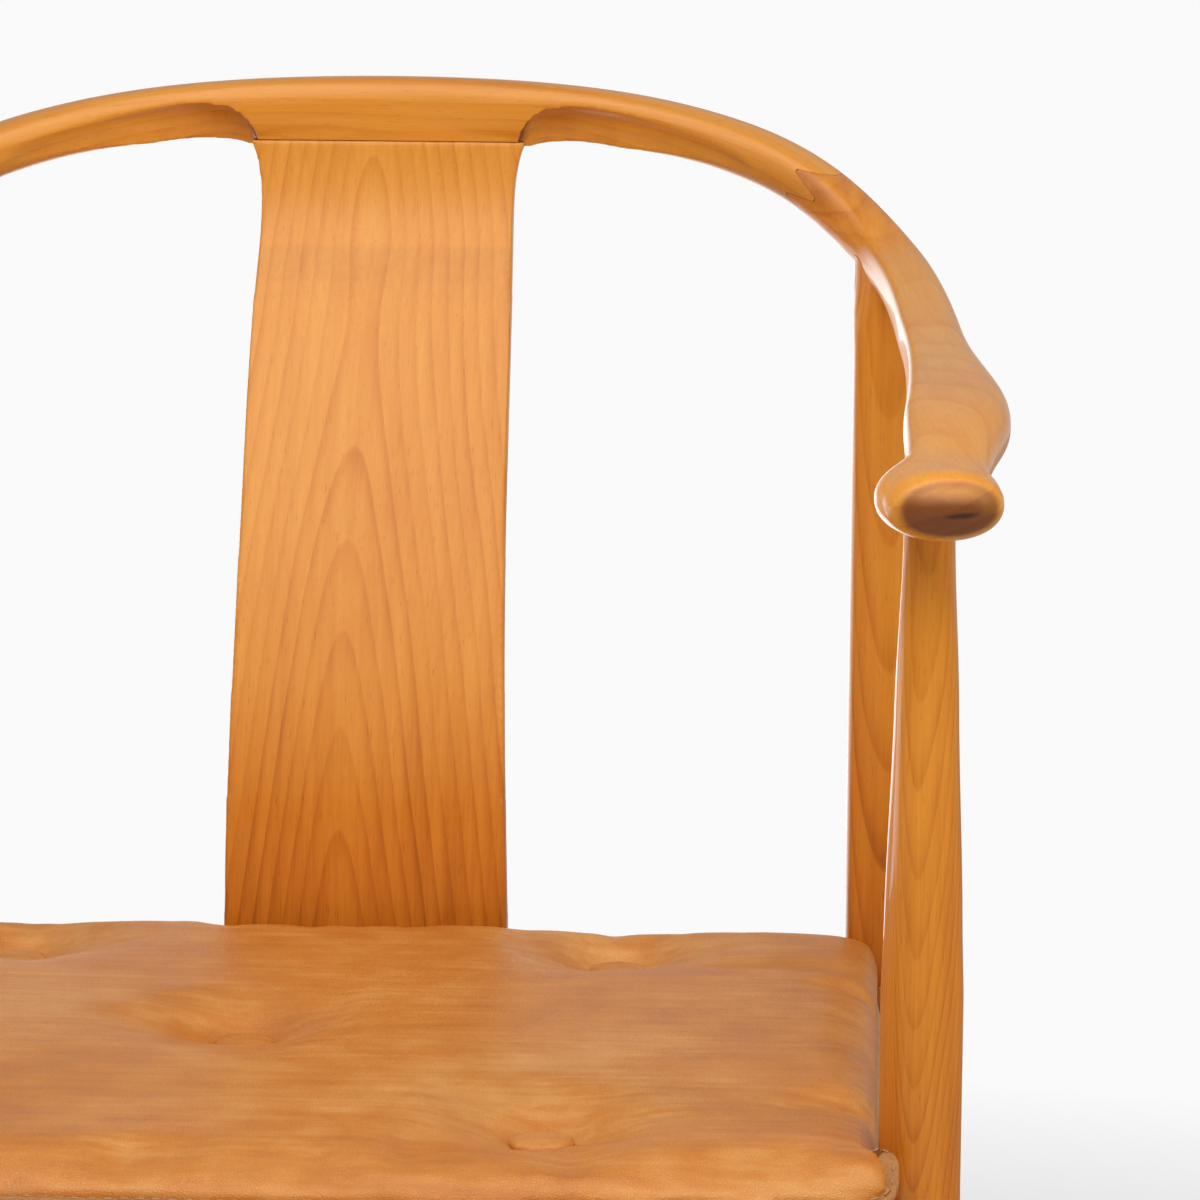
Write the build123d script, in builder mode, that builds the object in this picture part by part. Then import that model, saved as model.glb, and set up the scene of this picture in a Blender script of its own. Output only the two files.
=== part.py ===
"""Horseshoe back armchair in solid cherry with a loose, buttoned leather cushion.

Millimetres.  +X is to the right as the chair is seen from the front, +Y is towards its
back and +Z is up.  The origin lies on the floor below the middle of the chair.
"""
from build123d import *
from collections import namedtuple
from math import copysign, cos, hypot, pi, sin, sqrt
import os

os.makedirs("parts", exist_ok=True)

# ---------------------------------------------------------------- driving dimensions
overall_width = 555.0  # over the widest part of the arms
overall_depth = 550.0  # from the tips of the arm knobs to the back of the crest
overall_height = 820.0
seat_height = 450.0  # top of the cushion

front_leg_x = 246.5  # leg centres
front_leg_y = -215.0
rear_leg_x = 230.0
rear_leg_y = 148.0

glue_gap = 0.15  # between a leg and what is scribed to it
tenon_fit = 0.1  # around a tenon, in its mortise
end_gap = 1.0  # between a tenon's end and the bottom of its mortise
hole_fit = 0.05  # around a screw or a pin

# the bent rail that makes the back and both arms
crest_depth = 32.0
crest_height = 29.6
shoulder_x = 158.0
shoulder_y = 215.0
shoulder_drop = 13.8  # rail centre, below its centre at the crest
haunch_x = 198.0
haunch_y = 186.0
haunch_drop = 30.5
rear_rest_drop = 58.0
bend_x = 238.0
bend_y = 119.0
bend_drop = 66.4
rail_width = 27.5
rail_height = 24.0
elbow_x = 248.4
elbow_y = 28.0
elbow_drop = 83.7
arm_width = 41.0
arm_height = 26.0
arm_widest_y = -140.0
arm_drop = 99.2
neck_width = 32.0
neck_height = 23.0
neck_shift = 5.5  # rail centre over the front leg, outwards
neck_drop = 108.2
knob_width = 47.0
knob_height = 29.0
knob_x = 249.0
knob_drop = 113.5
knob_length = 26.0  # from its widest section forward to the tip
knob_turn = 5.0  # the end face is turned outwards
tip_width = 31.0
tip_height = 17.0
tip_slant = 0.25  # sideways run of the rail line at the tip, for each unit forward
tip_round_start = 0.993  # place on the rail line where the knob starts to round in to its tip
tip_round_width = 38.0
tip_round_height = 22.0

# zigzag joint between the crest and each arm
joint_along = 0.5  # how far from the shoulder to the rear leg
finger_length = 16.0
finger_pitch = 12.0
finger_blunt = 1.2
finger_shift = 1.0

# hollows under the crest, either side of the splat
seam_drop = 29.0  # flat underside of the crest, on which the splat ends, below its top
neck_block_half = 76.0
scoop_radius = 17.6
scoop_end_radius = 9.0
scoop_length = 105.0
scoop_start_x = 80.0
scoop_out = 3.0  # start of the scoop's axis, in front of the crest
scoop_down = 0.5  # and below the seam
scoop_run_x = 85.0  # where the axis is heading from there
scoop_run_y = -52.0
scoop_run_z = -22.0

# splat
splat_thickness = 12.0
splat_foot_half = 63.8
splat_belly_half = 62.6
splat_middle_half = 59.8
splat_waist_half = 58.4
splat_top_half = 63.4
splat_flare = 0.55  # slope of its edges where they meet the crest
splat_foot_front = 144.0  # front face where it leaves the rear rail
splat_foot_lean = 0.1  # slope of its side view at the foot, forwards
splat_top_lean = 0.04  # and at the top, backwards
splat_belly = 2.0  # how far the back curves forward above the seat
splat_belly_rise = 70.0  # height of that above the seat rails
splat_low_rise = 145.0
splat_lean_low = 12.0  # front face behind the foot, at that height
splat_middle_drop = 166.0  # below the seam
splat_waist_drop = 56.0
splat_lean_high = 17.0  # front face in front of the crest, at the waist
splat_tenon_height = 18.0
splat_tongue_height = 9.0
splat_tongue_thickness = 6.0
splat_shoulder = 9.0  # narrowing of tenon and tongue at each edge

# legs
front_leg_foot = 24.0
front_leg_seat = 31.0
front_leg_top = 18.6
front_leg_full_rise = 75.0  # full thickness up to here, above the seat rails
front_leg_taper_rise = 105.0  # from here it narrows evenly
front_leg_taper = 29.2
front_leg_neck_drop = 25.0  # up to here, below the rail's centre
front_leg_neck = 19.1
rear_leg_foot = 25.0
rear_leg_width = 30.0
rear_leg_top = 29.6
rear_leg_full_rise = 120.0
leg_corner = 0.35  # corner radius, as a share of the half width
leg_corner_middle = 0.6
leg_corner_top = 0.95
leg_tenon_radius = 6.0
leg_tenon_reach = 5.0  # above the rail's centre

# seat frame
seat_rail_top = 425.0
seat_rail_height = 44.0
seat_rail_end_height = 62.0
seat_rail_flare = 75.0  # length over which a rail deepens towards the leg
front_rail_thickness = 24.0
front_rail_bow = 16.0
front_rail_setback = 1.0  # behind the front of the leg
lap_thickness = 14.0
lap_reach = 4.8  # past the leg's centre
rear_rail_thickness = 26.0
side_rail_thickness = 22.0
rail_tenon_length = 8.5  # inside the leg
rail_tenon_thickness = 9.0
rail_tenon_height = 36.0
tenon_root = 2.0  # length of a tenon that is drawn inside its own rail
edge_radius = 2.5

# stretchers
stretcher_thickness = 16.0
stretcher_height = 24.0
stretcher_end_height = 36.0
stretcher_flare = 60.0
front_stretcher_z = 108.0  # top edges
side_stretcher_z = 158.0
rear_stretcher_z = 208.0
stretcher_tenon_length = 9.0  # inside the leg
stretcher_tenon_thickness = 7.0
stretcher_tenon_height = 18.0

# seat panel, corner blocks and screws
panel_thickness = 12.0
rebate = 9.0
panel_gap = 0.4
vent_radius = 9.0
vent_spacing = 90.0
vent_rows = 3
block_height = 26.0
block_near = 30.0  # faces of a block, from the corner, along the diagonal
block_far = 56.0
screw_radius = 2.0
screw_head_radius = 4.0
screw_head_height = 2.5
screw_length = 22.0
counterbore_radius = 4.6
screw_grip = 10.0  # wood between the head and the rail
panel_screw_bite = 9.0  # length of a screw in the panel

# glides
glide_height = 4.0
glide_radius = 10.0
glide_pin_radius = 2.5
glide_pin_length = 14.0

# cushion
cushion_lift = 0.3  # clearance above the seat
cushion_front_y = -273.0
cushion_back_y = 137.0
cushion_side_x = 228.0
cushion_back_radius = 45.0
cushion_nose_x = 239.0  # widest point, in front of the leg
nose_run = 6.0  # depth over which the nose widens
cushion_front_radius = 12.0
cushion_front_bow = 15.0
cushion_edge_radius = 8.0
leg_clearance = 1.2
leather = 1.6
core_gap = 0.2
button_radius = 12.5
button_height = 5.0
button_rounding = 3.0
button_gap = 0.5
button_floor = 9.0  # above the cushion's underside
dimple_radius = 34.0
lower_button_height = 3.0
tuft_cord_radius = 0.9
button_back_y = 100.0
button_front_y = -196.0
button_centre_x = -29.0
button_spread = 132.5
button_skew = 13.0  # the back pair sits this much further right

# ---------------------------------------------------------------- derived places
rail_centre_y = overall_depth / 2 - crest_depth / 2
rail_centre_z = overall_height - crest_height / 2
crest_front_y = overall_depth / 2 - crest_depth
seam_z = overall_height - seam_drop
rear_rest_z = rail_centre_z - rear_rest_drop
neck_z = rail_centre_z - neck_drop
arm_x = overall_width / 2 - arm_width / 2
tip_y = -overall_depth / 2 + tip_width / 2 * tip_slant
panel_bottom = seat_rail_top - panel_thickness
cushion_bottom = seat_rail_top + cushion_lift
cushion_thickness = seat_height - cushion_bottom

# ---------------------------------------------------------------- the bent rail
# A station is one cross-section of the rail: its centre, its size and how square it is.
Station = namedtuple("Station", "x y z width height square")

rail_anchors = [
    Station(0, rail_centre_y, rail_centre_z, crest_depth, crest_height, 3.4),
    Station(shoulder_x, shoulder_y, rail_centre_z - shoulder_drop, rail_width, rail_height, 2.4),
    Station(haunch_x, haunch_y, rail_centre_z - haunch_drop, rail_width, rail_height, 2.3),
    Station(rear_leg_x, rear_leg_y, rear_rest_z, rail_width, rail_height, 2.3),
    Station(bend_x, bend_y, rail_centre_z - bend_drop, rail_width, rail_height, 2.3),
    Station(elbow_x, elbow_y, rail_centre_z - elbow_drop, rail_width, rail_height, 2.4),
    Station(arm_x, arm_widest_y, rail_centre_z - arm_drop, arm_width, arm_height, 2.5),
    Station(front_leg_x + neck_shift, front_leg_y, neck_z, neck_width, neck_height, 2.3),
    Station(knob_x, tip_y + knob_length, rail_centre_z - knob_drop, knob_width, knob_height, 2.2),
    Station(knob_x + knob_turn, tip_y, rail_centre_z - knob_drop, tip_width, tip_height, 2.1),
]
between = [3, 1, 1, 1, 2, 3, 2, 1, 2]  # sections from each anchor to the next

rail_line = Spline(*[(a.x, a.y, a.z) for a in rail_anchors], tangents=[(1, 0, 0), (tip_slant, -1, 0)])


def blend(a, b, t):
    """Go from a to b with level ends."""
    return a + (b - a) * t * t * (3 - 2 * t)


def rail_stations():
    """Stations of the right half: (plane position on the rail line, width, height, squareness)."""
    found = []
    for first, second, count in zip(rail_anchors, rail_anchors[1:], between):
        start = rail_line.param_at_point((first.x, first.y, first.z))
        end = rail_line.param_at_point((second.x, second.y, second.z))
        for step in range(count):
            t = step / count
            size = [blend(p, q, t) for p, q in zip(first[3:], second[3:])]
            found.append((start + (end - start) * t, *size))
    last = rail_anchors[-1]
    found.append((tip_round_start, tip_round_width, tip_round_height, last.square))
    found.append((1.0, last.width, last.height, last.square))
    return found


def soft_outline(half_x, half_y, square, count=20):
    """Points on an oval that gets squarer as `square` grows; 2 is an ellipse."""
    points = []
    for k in range(count):
        c, s = cos(2 * pi * k / count), sin(2 * pi * k / count)
        points.append((half_x * copysign(abs(c) ** (2 / square), c),
                       half_y * copysign(abs(s) ** (2 / square), s)))
    return points


def rail_solid(grow=0.0):
    """The whole bent rail, from knob to knob, grown all round by `grow`."""
    right = [(rail_line @ t, rail_line % t, w, h, n) for t, w, h, n in rail_stations()]
    left = [(Vector(-p.X, p.Y, p.Z), Vector(d.X, -d.Y, -d.Z), w, h, n)
            for p, d, w, h, n in reversed(right[1:])]
    with BuildPart() as rail:
        for centre, along, width, height, square in left + right:
            outward = Vector(0, 0, 1).cross(along)
            with BuildSketch(Plane(origin=centre, x_dir=outward, z_dir=along)):
                with BuildLine():
                    Spline(*soft_outline(width / 2 + grow, height / 2 + grow, square), periodic=True)
                make_face()
        loft()
    return rail.part


def zigzag():
    """Side view of everything on the arm's side of the finger joint: x along the rail, y up it."""
    half = finger_length / 2
    blunt = finger_blunt / 2
    points = [(0, -overall_depth)]
    for k in range(-2, 3):
        crest_tip = finger_shift + finger_pitch * k
        arm_tip = crest_tip + finger_pitch / 2
        points += [(half, crest_tip - blunt), (half, crest_tip + blunt),
                   (-half, arm_tip - blunt), (-half, arm_tip + blunt)]
    points += [(0, overall_depth), (2 * overall_depth, overall_depth),
               (2 * overall_depth, -overall_depth)]
    return points


def arm_side():
    """Solid holding all of the rail that belongs to the right arm."""
    near = rail_line.param_at_point((shoulder_x, shoulder_y, rail_centre_z - shoulder_drop))
    far = rail_line.param_at_point((rear_leg_x, rear_leg_y, rear_rest_z))
    t = near + (far - near) * joint_along
    along = rail_line % t
    outward = Vector(0, 0, 1).cross(along)
    with BuildPart() as side:
        with BuildSketch(Plane(origin=rail_line @ t, x_dir=along, z_dir=-outward)):
            with BuildLine():
                Polyline(*zigzag(), close=True)
            make_face()
        extrude(amount=overall_depth, both=True)
    return side.part


rail_blank = rail_solid()
rail_seat = rail_solid(glue_gap)
right_side = arm_side()
left_side = right_side.mirror(Plane.YZ)

# The neck squares the crest where the splat meets it, and the two scoops hollow its
# lower front on either side, leaving a crisp ridge that runs up from the seam.
with BuildPart() as scoop_cutter:
    scoop_axis = Plane(origin=(scoop_start_x, crest_front_y - scoop_out, seam_z - scoop_down),
                       x_dir=(scoop_run_x, scoop_run_y, scoop_run_z), z_dir=(0, 0, 1))
    with BuildSketch(scoop_axis) as scoop_profile:
        with BuildLine():
            CenterArc((0, 0), scoop_radius, 90, 90)
            Line((0, scoop_radius), (scoop_length, scoop_end_radius))
            CenterArc((scoop_length, 0), scoop_end_radius, 0, 90)
            Line((scoop_length + scoop_end_radius, 0), (-scoop_radius, 0))
        make_face()
    revolve(axis=Axis(scoop_axis.origin, scoop_axis.x_dir))

with BuildPart() as crest_rail:
    add(rail_blank)
    with Locations((0, crest_front_y, seam_z)):
        Box(2 * neck_block_half, crest_depth / 2, crest_height / 2,
            align=(Align.CENTER, Align.MIN, Align.MIN))
    add(scoop_cutter.part, mode=Mode.SUBTRACT)
    add(scoop_cutter.part.mirror(Plane.YZ), mode=Mode.SUBTRACT)
    add(right_side, mode=Mode.SUBTRACT)
    add(left_side, mode=Mode.SUBTRACT)
    # flat landing and groove for the top of the splat
    with Locations((0, 0, seam_z)):
        Box(2 * neck_block_half, 2 * overall_depth, crest_height, mode=Mode.SUBTRACT,
            align=(Align.CENTER, Align.CENTER, Align.MAX))
    with Locations((0, crest_front_y + splat_thickness / 2, seam_z)):
        Box(2 * (splat_top_half - splat_shoulder + tenon_fit), splat_tongue_thickness + 2 * tenon_fit,
            2 * (splat_tongue_height + end_gap), mode=Mode.SUBTRACT)


def leg_bore(x, y, centre_z):
    """Blind bore for a leg's round tenon, from below the rail up past its centre."""
    top = centre_z + leg_tenon_reach + end_gap
    with Locations((x, y, top)):
        Cylinder(leg_tenon_radius + tenon_fit, 2 * rail_height, mode=Mode.SUBTRACT,
                 align=(Align.CENTER, Align.CENTER, Align.MAX))


with BuildPart() as arm_right:
    add(rail_blank)
    add(right_side, mode=Mode.INTERSECT)
    leg_bore(rear_leg_x, rear_leg_y, rear_rest_z)
    leg_bore(front_leg_x, front_leg_y, neck_z)

with BuildPart() as arm_left:
    add(arm_right.part.mirror(Plane.YZ))

# ---------------------------------------------------------------- legs
LegSection = namedtuple("LegSection", "z width corner")


def tapered(z, width, roundness):
    """A leg section whose corner radius is a share of its half width: 1 is a circle."""
    return LegSection(z, width, width / 2 * roundness)


front_leg_sections = [
    tapered(glide_height, front_leg_foot, leg_corner),
    tapered(seat_rail_top - seat_rail_end_height, front_leg_seat, leg_corner),
    tapered(seat_rail_top + front_leg_full_rise, front_leg_seat, leg_corner),
    tapered(seat_rail_top + front_leg_taper_rise, front_leg_taper, leg_corner_middle),
    tapered(neck_z - front_leg_neck_drop, front_leg_neck, leg_corner_top),
    tapered(neck_z, front_leg_top, leg_corner_top),
]
rear_leg_sections = [
    tapered(glide_height, rear_leg_foot, leg_corner),
    tapered(seat_rail_top - seat_rail_end_height, rear_leg_width, leg_corner),
    tapered(seat_rail_top + rear_leg_full_rise, rear_leg_width, leg_corner),
    tapered(rear_rest_z, rear_leg_top, leg_corner_middle),
]


def leg_solid(x, y, sections, grow=0.0):
    """A planed leg: square with soft corners at the seat, rounder towards its top."""
    with BuildPart() as leg:
        for section in sections:
            with BuildSketch(Plane.XY.offset(section.z)):
                with Locations((x, y)):
                    RectangleRounded(section.width + 2 * grow, section.width + 2 * grow,
                                     section.corner + grow)
        loft(ruled=True)
    return leg.part


front_leg_blank = leg_solid(front_leg_x, front_leg_y, front_leg_sections)
front_leg_clear = leg_solid(front_leg_x, front_leg_y, front_leg_sections, glue_gap)
rear_leg_blank = leg_solid(rear_leg_x, rear_leg_y, rear_leg_sections)
rear_leg_clear = leg_solid(rear_leg_x, rear_leg_y, rear_leg_sections, glue_gap)


def bare_tenon(place, thickness, height, length):
    """A tenon from its shoulder at `place`, whose x points into the leg."""
    with Locations(place):
        Box(length, thickness, height, align=(Align.MIN, Align.CENTER, Align.CENTER))


def mortise(place, thickness, height, length):
    """The mortise for that tenon."""
    with Locations(place):
        Box(length + end_gap, thickness + 2 * tenon_fit, height + 2 * tenon_fit,
            align=(Align.MIN, Align.CENTER, Align.CENTER), mode=Mode.SUBTRACT)


def joint_place(leg_x, leg_y, towards_x, towards_y, z, from_centre):
    """Where a tenon's shoulder meets a leg: x points from the piece into the leg's centre."""
    away = hypot(towards_x - leg_x, towards_y - leg_y)
    ux, uy = (leg_x - towards_x) / away, (leg_y - towards_y) / away
    return Plane(origin=(leg_x - ux * from_centre, leg_y - uy * from_centre, z),
                 x_dir=(ux, uy, 0), z_dir=(0, 0, 1)).location


rail_tenon_z = seat_rail_top - seat_rail_end_height / 2
rail_tenon = (rail_tenon_thickness, rail_tenon_height, tenon_root + rail_tenon_length)
stretcher_tenon = (stretcher_tenon_thickness, stretcher_tenon_height,
                   tenon_root + stretcher_tenon_length)


# ---------------------------------------------------------------- seat frame
def side_line_x(y):
    """Centre line of the right side rail, from the front leg to the rear leg."""
    return front_leg_x + (rear_leg_x - front_leg_x) * (y - front_leg_y) / (rear_leg_y - front_leg_y)


front_face_y = front_leg_y - front_leg_seat / 2 + front_rail_setback
front_inner_y = front_face_y + front_rail_thickness
rear_inner_y = rear_leg_y - rear_rail_thickness / 2


def underside(half_length, middle, end, flare):
    """Front view of a bar whose lower edge sweeps down to its ends; its top lies on y = 0."""
    with BuildSketch(Plane.XZ) as view:
        with BuildLine():
            Polyline((-half_length, -end), (-half_length, 0), (half_length, 0), (half_length, -end))
            Spline((half_length, -end), (half_length - flare, -middle),
                   tangents=[(-0.7, 0.7), (-1, 0)], tangent_scalars=[1, 1])
            Line((half_length - flare, -middle), (flare - half_length, -middle))
            Spline((flare - half_length, -middle), (-half_length, -end),
                   tangents=[(-1, 0), (-0.7, -0.7)], tangent_scalars=[1, 1])
        make_face()
    return view.sketch


def bar(length, thickness, middle, end, flare):
    """A rail or stretcher along x, its top edge on z = 0, with its long edges rounded."""
    with BuildPart() as piece:
        extrude(underside(length / 2, middle, end, flare), amount=thickness / 2, both=True)
        rims = piece.faces().filter_by(Axis.Y).edges()
        fillet([e for e in rims if abs(e.center().X) < length / 2 - 1], edge_radius)
    return piece.part


def bar_between(start, end, z, thickness, sizes):
    """A bar from one leg's centre to another's; start and end are (x, y)."""
    length = hypot(end[0] - start[0], end[1] - start[1])
    middle = ((start[0] + end[0]) / 2, (start[1] + end[1]) / 2, z)
    place = Plane(origin=middle, x_dir=(end[0] - start[0], end[1] - start[1], 0), z_dir=(0, 0, 1))
    return bar(length, thickness, *sizes).moved(place.location)


def frame_opening(z, grow):
    """Plan of the space inside the seat rails, grown into them, at height z."""
    front_y = front_inner_y - grow
    back_y = rear_inner_y + grow
    front_x = side_line_x(front_y) - side_rail_thickness / 2 + grow
    back_x = side_line_x(back_y) - side_rail_thickness / 2 + grow
    with BuildSketch(Plane.XY.offset(z)) as plan:
        with BuildLine():
            Polyline((-front_x, front_y), (-back_x, back_y), (back_x, back_y), (front_x, front_y))
            ThreePointArc((front_x, front_y), (0, front_y - front_rail_bow), (-front_x, front_y))
        make_face()
    return plan.sketch


rail_sizes = (seat_rail_height, seat_rail_end_height, seat_rail_flare)
stretcher_sizes = (stretcher_height, stretcher_end_height, stretcher_flare)
front_leg = (front_leg_x, front_leg_y)
rear_leg = (rear_leg_x, rear_leg_y)
leg_pairs = [front_leg, (-front_leg_x, front_leg_y), rear_leg, (-rear_leg_x, rear_leg_y)]

rail_shoulder = front_leg_seat / 2 + tenon_root
rear_shoulder = rear_leg_width / 2 + tenon_root
foot_shoulder = (rear_leg_foot + rear_leg_width) / 4 + tenon_root

front_side_tenon = joint_place(*front_leg, *rear_leg, rail_tenon_z, rail_shoulder)
rear_side_tenon = joint_place(*rear_leg, *front_leg, rail_tenon_z, rear_shoulder)
rear_rail_tenon = joint_place(*rear_leg, 0, rear_leg_y, rail_tenon_z, rear_shoulder)
front_stretcher_tenon = joint_place(*front_leg, 0, front_leg_y,
                                    front_stretcher_z - stretcher_end_height / 2, foot_shoulder)
rear_stretcher_tenon = joint_place(*rear_leg, 0, rear_leg_y,
                                   rear_stretcher_z - stretcher_end_height / 2, foot_shoulder)
side_stretcher_front = joint_place(*front_leg, *rear_leg,
                                   side_stretcher_z - stretcher_end_height / 2, foot_shoulder)
side_stretcher_rear = joint_place(*rear_leg, *front_leg,
                                  side_stretcher_z - stretcher_end_height / 2, foot_shoulder)

# The seat panel lies in a rebate on the rails' inner top edges, cut round the legs.
with BuildPart() as seat_panel:
    extrude(frame_opening(panel_bottom, rebate), amount=panel_thickness)
    with Locations(*[(x, y, panel_bottom) for x, y in leg_pairs]):
        Box(front_leg_seat + 2 * panel_gap, front_leg_seat + 2 * panel_gap, 3 * panel_thickness,
            mode=Mode.SUBTRACT)
    with BuildSketch(Plane.XY.offset(panel_bottom)):
        with GridLocations(vent_spacing, vent_spacing, vent_rows, vent_rows):
            Circle(vent_radius)
    extrude(amount=panel_thickness, mode=Mode.SUBTRACT)

with BuildPart() as panel_pocket:
    extrude(frame_opening(panel_bottom, rebate + panel_gap), amount=2 * panel_thickness)

lap_depth = front_face_y + lap_thickness
lap_end = front_leg_x + lap_reach
lap_bottom = seat_rail_top - seat_rail_end_height
leg_inner_face = front_leg_x - front_leg_seat / 2 - glue_gap

with BuildPart() as front_seat_rail:
    with BuildSketch(Plane.XY.offset(lap_bottom)):
        with BuildLine():
            Line((-lap_end, front_face_y), (-lap_end, front_inner_y))
            ThreePointArc((-lap_end, front_inner_y), (0, front_inner_y - front_rail_bow),
                          (lap_end, front_inner_y))
            Line((lap_end, front_inner_y), (lap_end, front_face_y))
            ThreePointArc((lap_end, front_face_y), (0, front_face_y - front_rail_bow),
                          (-lap_end, front_face_y))
        make_face()
    extrude(amount=seat_rail_end_height)
    extrude(underside(lap_end, *rail_sizes).moved(Location((0, 0, seat_rail_top))),
            amount=overall_depth, both=True, mode=Mode.INTERSECT)
    # behind the laps the rail stops at the legs
    for leg_inner_x, outwards in ((leg_inner_face, Align.MIN), (-leg_inner_face, Align.MAX)):
        with Locations((leg_inner_x, lap_depth, seat_rail_top)):
            Box(front_leg_x, front_leg_seat, 3 * seat_rail_end_height, mode=Mode.SUBTRACT,
                align=(outwards, Align.MIN, Align.CENTER))
    add(panel_pocket.part, mode=Mode.SUBTRACT)

with BuildPart() as lap_notch:
    with Locations((lap_end + tenon_fit, lap_depth + tenon_fit, seat_rail_top + tenon_fit)):
        Box(2 * front_leg_seat, 2 * front_leg_seat, seat_rail_end_height + 2 * tenon_fit,
            align=(Align.MAX, Align.MAX, Align.MAX))

with BuildPart() as side_seat_rail_right:
    add(bar_between(front_leg, rear_leg, seat_rail_top, side_rail_thickness, rail_sizes))
    add([front_leg_clear, rear_leg_clear, panel_pocket.part], mode=Mode.SUBTRACT)
    add(front_seat_rail.part, mode=Mode.SUBTRACT)
    bare_tenon(front_side_tenon, *rail_tenon)
    bare_tenon(rear_side_tenon, *rail_tenon)

with BuildPart() as side_seat_rail_left:
    add(side_seat_rail_right.part.mirror(Plane.YZ))

splat_foot_y = splat_foot_front + splat_thickness / 2

with BuildPart() as rear_seat_rail:
    add(bar_between((-rear_leg_x, rear_leg_y), rear_leg, seat_rail_top, rear_rail_thickness, rail_sizes))
    add([rear_leg_clear, rear_leg_clear.mirror(Plane.YZ), panel_pocket.part], mode=Mode.SUBTRACT)
    add([side_seat_rail_right.part, side_seat_rail_left.part], mode=Mode.SUBTRACT)
    bare_tenon(rear_rail_tenon, *rail_tenon)
    bare_tenon(joint_place(-rear_leg_x, rear_leg_y, 0, rear_leg_y, rail_tenon_z, rear_shoulder),
               *rail_tenon)
    # mortise for the foot of the splat
    with Locations((0, splat_foot_y, seat_rail_top + 1)):
        Box(2 * (splat_foot_half - splat_shoulder + tenon_fit), splat_thickness + 2 * tenon_fit,
            splat_tenon_height + end_gap + 1, mode=Mode.SUBTRACT,
            align=(Align.CENTER, Align.CENTER, Align.MAX))

# ---------------------------------------------------------------- splat
# Bent in side view, waisted in front view, tenoned into the rear rail and tongued
# into the crest, with its front face level with the crest's.
splat_curve = [
    (splat_foot_front, seat_rail_top),
    (splat_foot_front - splat_belly, seat_rail_top + splat_belly_rise),
    (splat_foot_front + splat_lean_low, seat_rail_top + splat_low_rise),
    (crest_front_y - splat_lean_high, seam_z - splat_waist_drop),
    (crest_front_y, seam_z),
]
splat_edge = [
    (splat_foot_half, seat_rail_top),
    (splat_belly_half, seat_rail_top + splat_belly_rise),
    (splat_middle_half, seam_z - splat_middle_drop),
    (splat_waist_half, seam_z - splat_waist_drop),
    (splat_top_half, seam_z),
]
splat_tangents = [(-splat_foot_lean, 1), (splat_top_lean, 1)]

with BuildPart() as back_splat:
    with BuildSketch(Plane.YZ) as splat_side:
        with BuildLine():
            front = Spline(*splat_curve, tangents=splat_tangents)
            back = Spline(*[(y + splat_thickness, z) for y, z in splat_curve],
                          tangents=splat_tangents)
            Line(front @ 0, back @ 0)
            Line(front @ 1, back @ 1)
        make_face()
    extrude(amount=overall_width / 2, both=True)
    with BuildSketch(Plane.XZ) as splat_front:
        with BuildLine():
            right_edge = Spline(*splat_edge, tangents=[(0, 1), (splat_flare, 1)])
            left_edge = Spline(*[(-x, z) for x, z in splat_edge],
                               tangents=[(0, 1), (-splat_flare, 1)])
            Line(right_edge @ 0, left_edge @ 0)
            Line(right_edge @ 1, left_edge @ 1)
        make_face()
    extrude(amount=overall_depth, both=True, mode=Mode.INTERSECT)
    with Locations((0, splat_foot_y, seat_rail_top)):
        Box(2 * (splat_foot_half - splat_shoulder), splat_thickness, splat_tenon_height,
            align=(Align.CENTER, Align.CENTER, Align.MAX))
    with Locations((0, crest_front_y + splat_thickness / 2, seam_z)):
        Box(2 * (splat_top_half - splat_shoulder), splat_tongue_thickness, splat_tongue_height,
            align=(Align.CENTER, Align.CENTER, Align.MIN))

# ---------------------------------------------------------------- stretchers
rear_leg_clear_left = rear_leg_clear.mirror(Plane.YZ)
front_leg_clear_left = front_leg_clear.mirror(Plane.YZ)
left_front_stretcher_tenon = joint_place(-front_leg_x, front_leg_y, 0, front_leg_y,
                                         front_stretcher_z - stretcher_end_height / 2, foot_shoulder)
left_rear_stretcher_tenon = joint_place(-rear_leg_x, rear_leg_y, 0, rear_leg_y,
                                        rear_stretcher_z - stretcher_end_height / 2, foot_shoulder)

with BuildPart() as front_stretcher:
    add(bar_between((-front_leg_x, front_leg_y), front_leg, front_stretcher_z,
                    stretcher_thickness, stretcher_sizes))
    add([front_leg_clear, front_leg_clear_left], mode=Mode.SUBTRACT)
    bare_tenon(front_stretcher_tenon, *stretcher_tenon)
    bare_tenon(left_front_stretcher_tenon, *stretcher_tenon)

with BuildPart() as rear_stretcher:
    add(bar_between((-rear_leg_x, rear_leg_y), rear_leg, rear_stretcher_z,
                    stretcher_thickness, stretcher_sizes))
    add([rear_leg_clear, rear_leg_clear_left], mode=Mode.SUBTRACT)
    bare_tenon(rear_stretcher_tenon, *stretcher_tenon)
    bare_tenon(left_rear_stretcher_tenon, *stretcher_tenon)

with BuildPart() as side_stretcher_right:
    add(bar_between(front_leg, rear_leg, side_stretcher_z, stretcher_thickness, stretcher_sizes))
    add([front_leg_clear, rear_leg_clear], mode=Mode.SUBTRACT)
    bare_tenon(side_stretcher_front, *stretcher_tenon)
    bare_tenon(side_stretcher_rear, *stretcher_tenon)

with BuildPart() as side_stretcher_left:
    add(side_stretcher_right.part.mirror(Plane.YZ))


# ---------------------------------------------------------------- finished legs
def leg_top_tenon(x, y, centre_z):
    """Round tenon that stands in the rail above the leg."""
    with Locations((x, y, centre_z + leg_tenon_reach)):
        Cylinder(leg_tenon_radius, arm_height, align=(Align.CENTER, Align.CENTER, Align.MAX))


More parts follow.
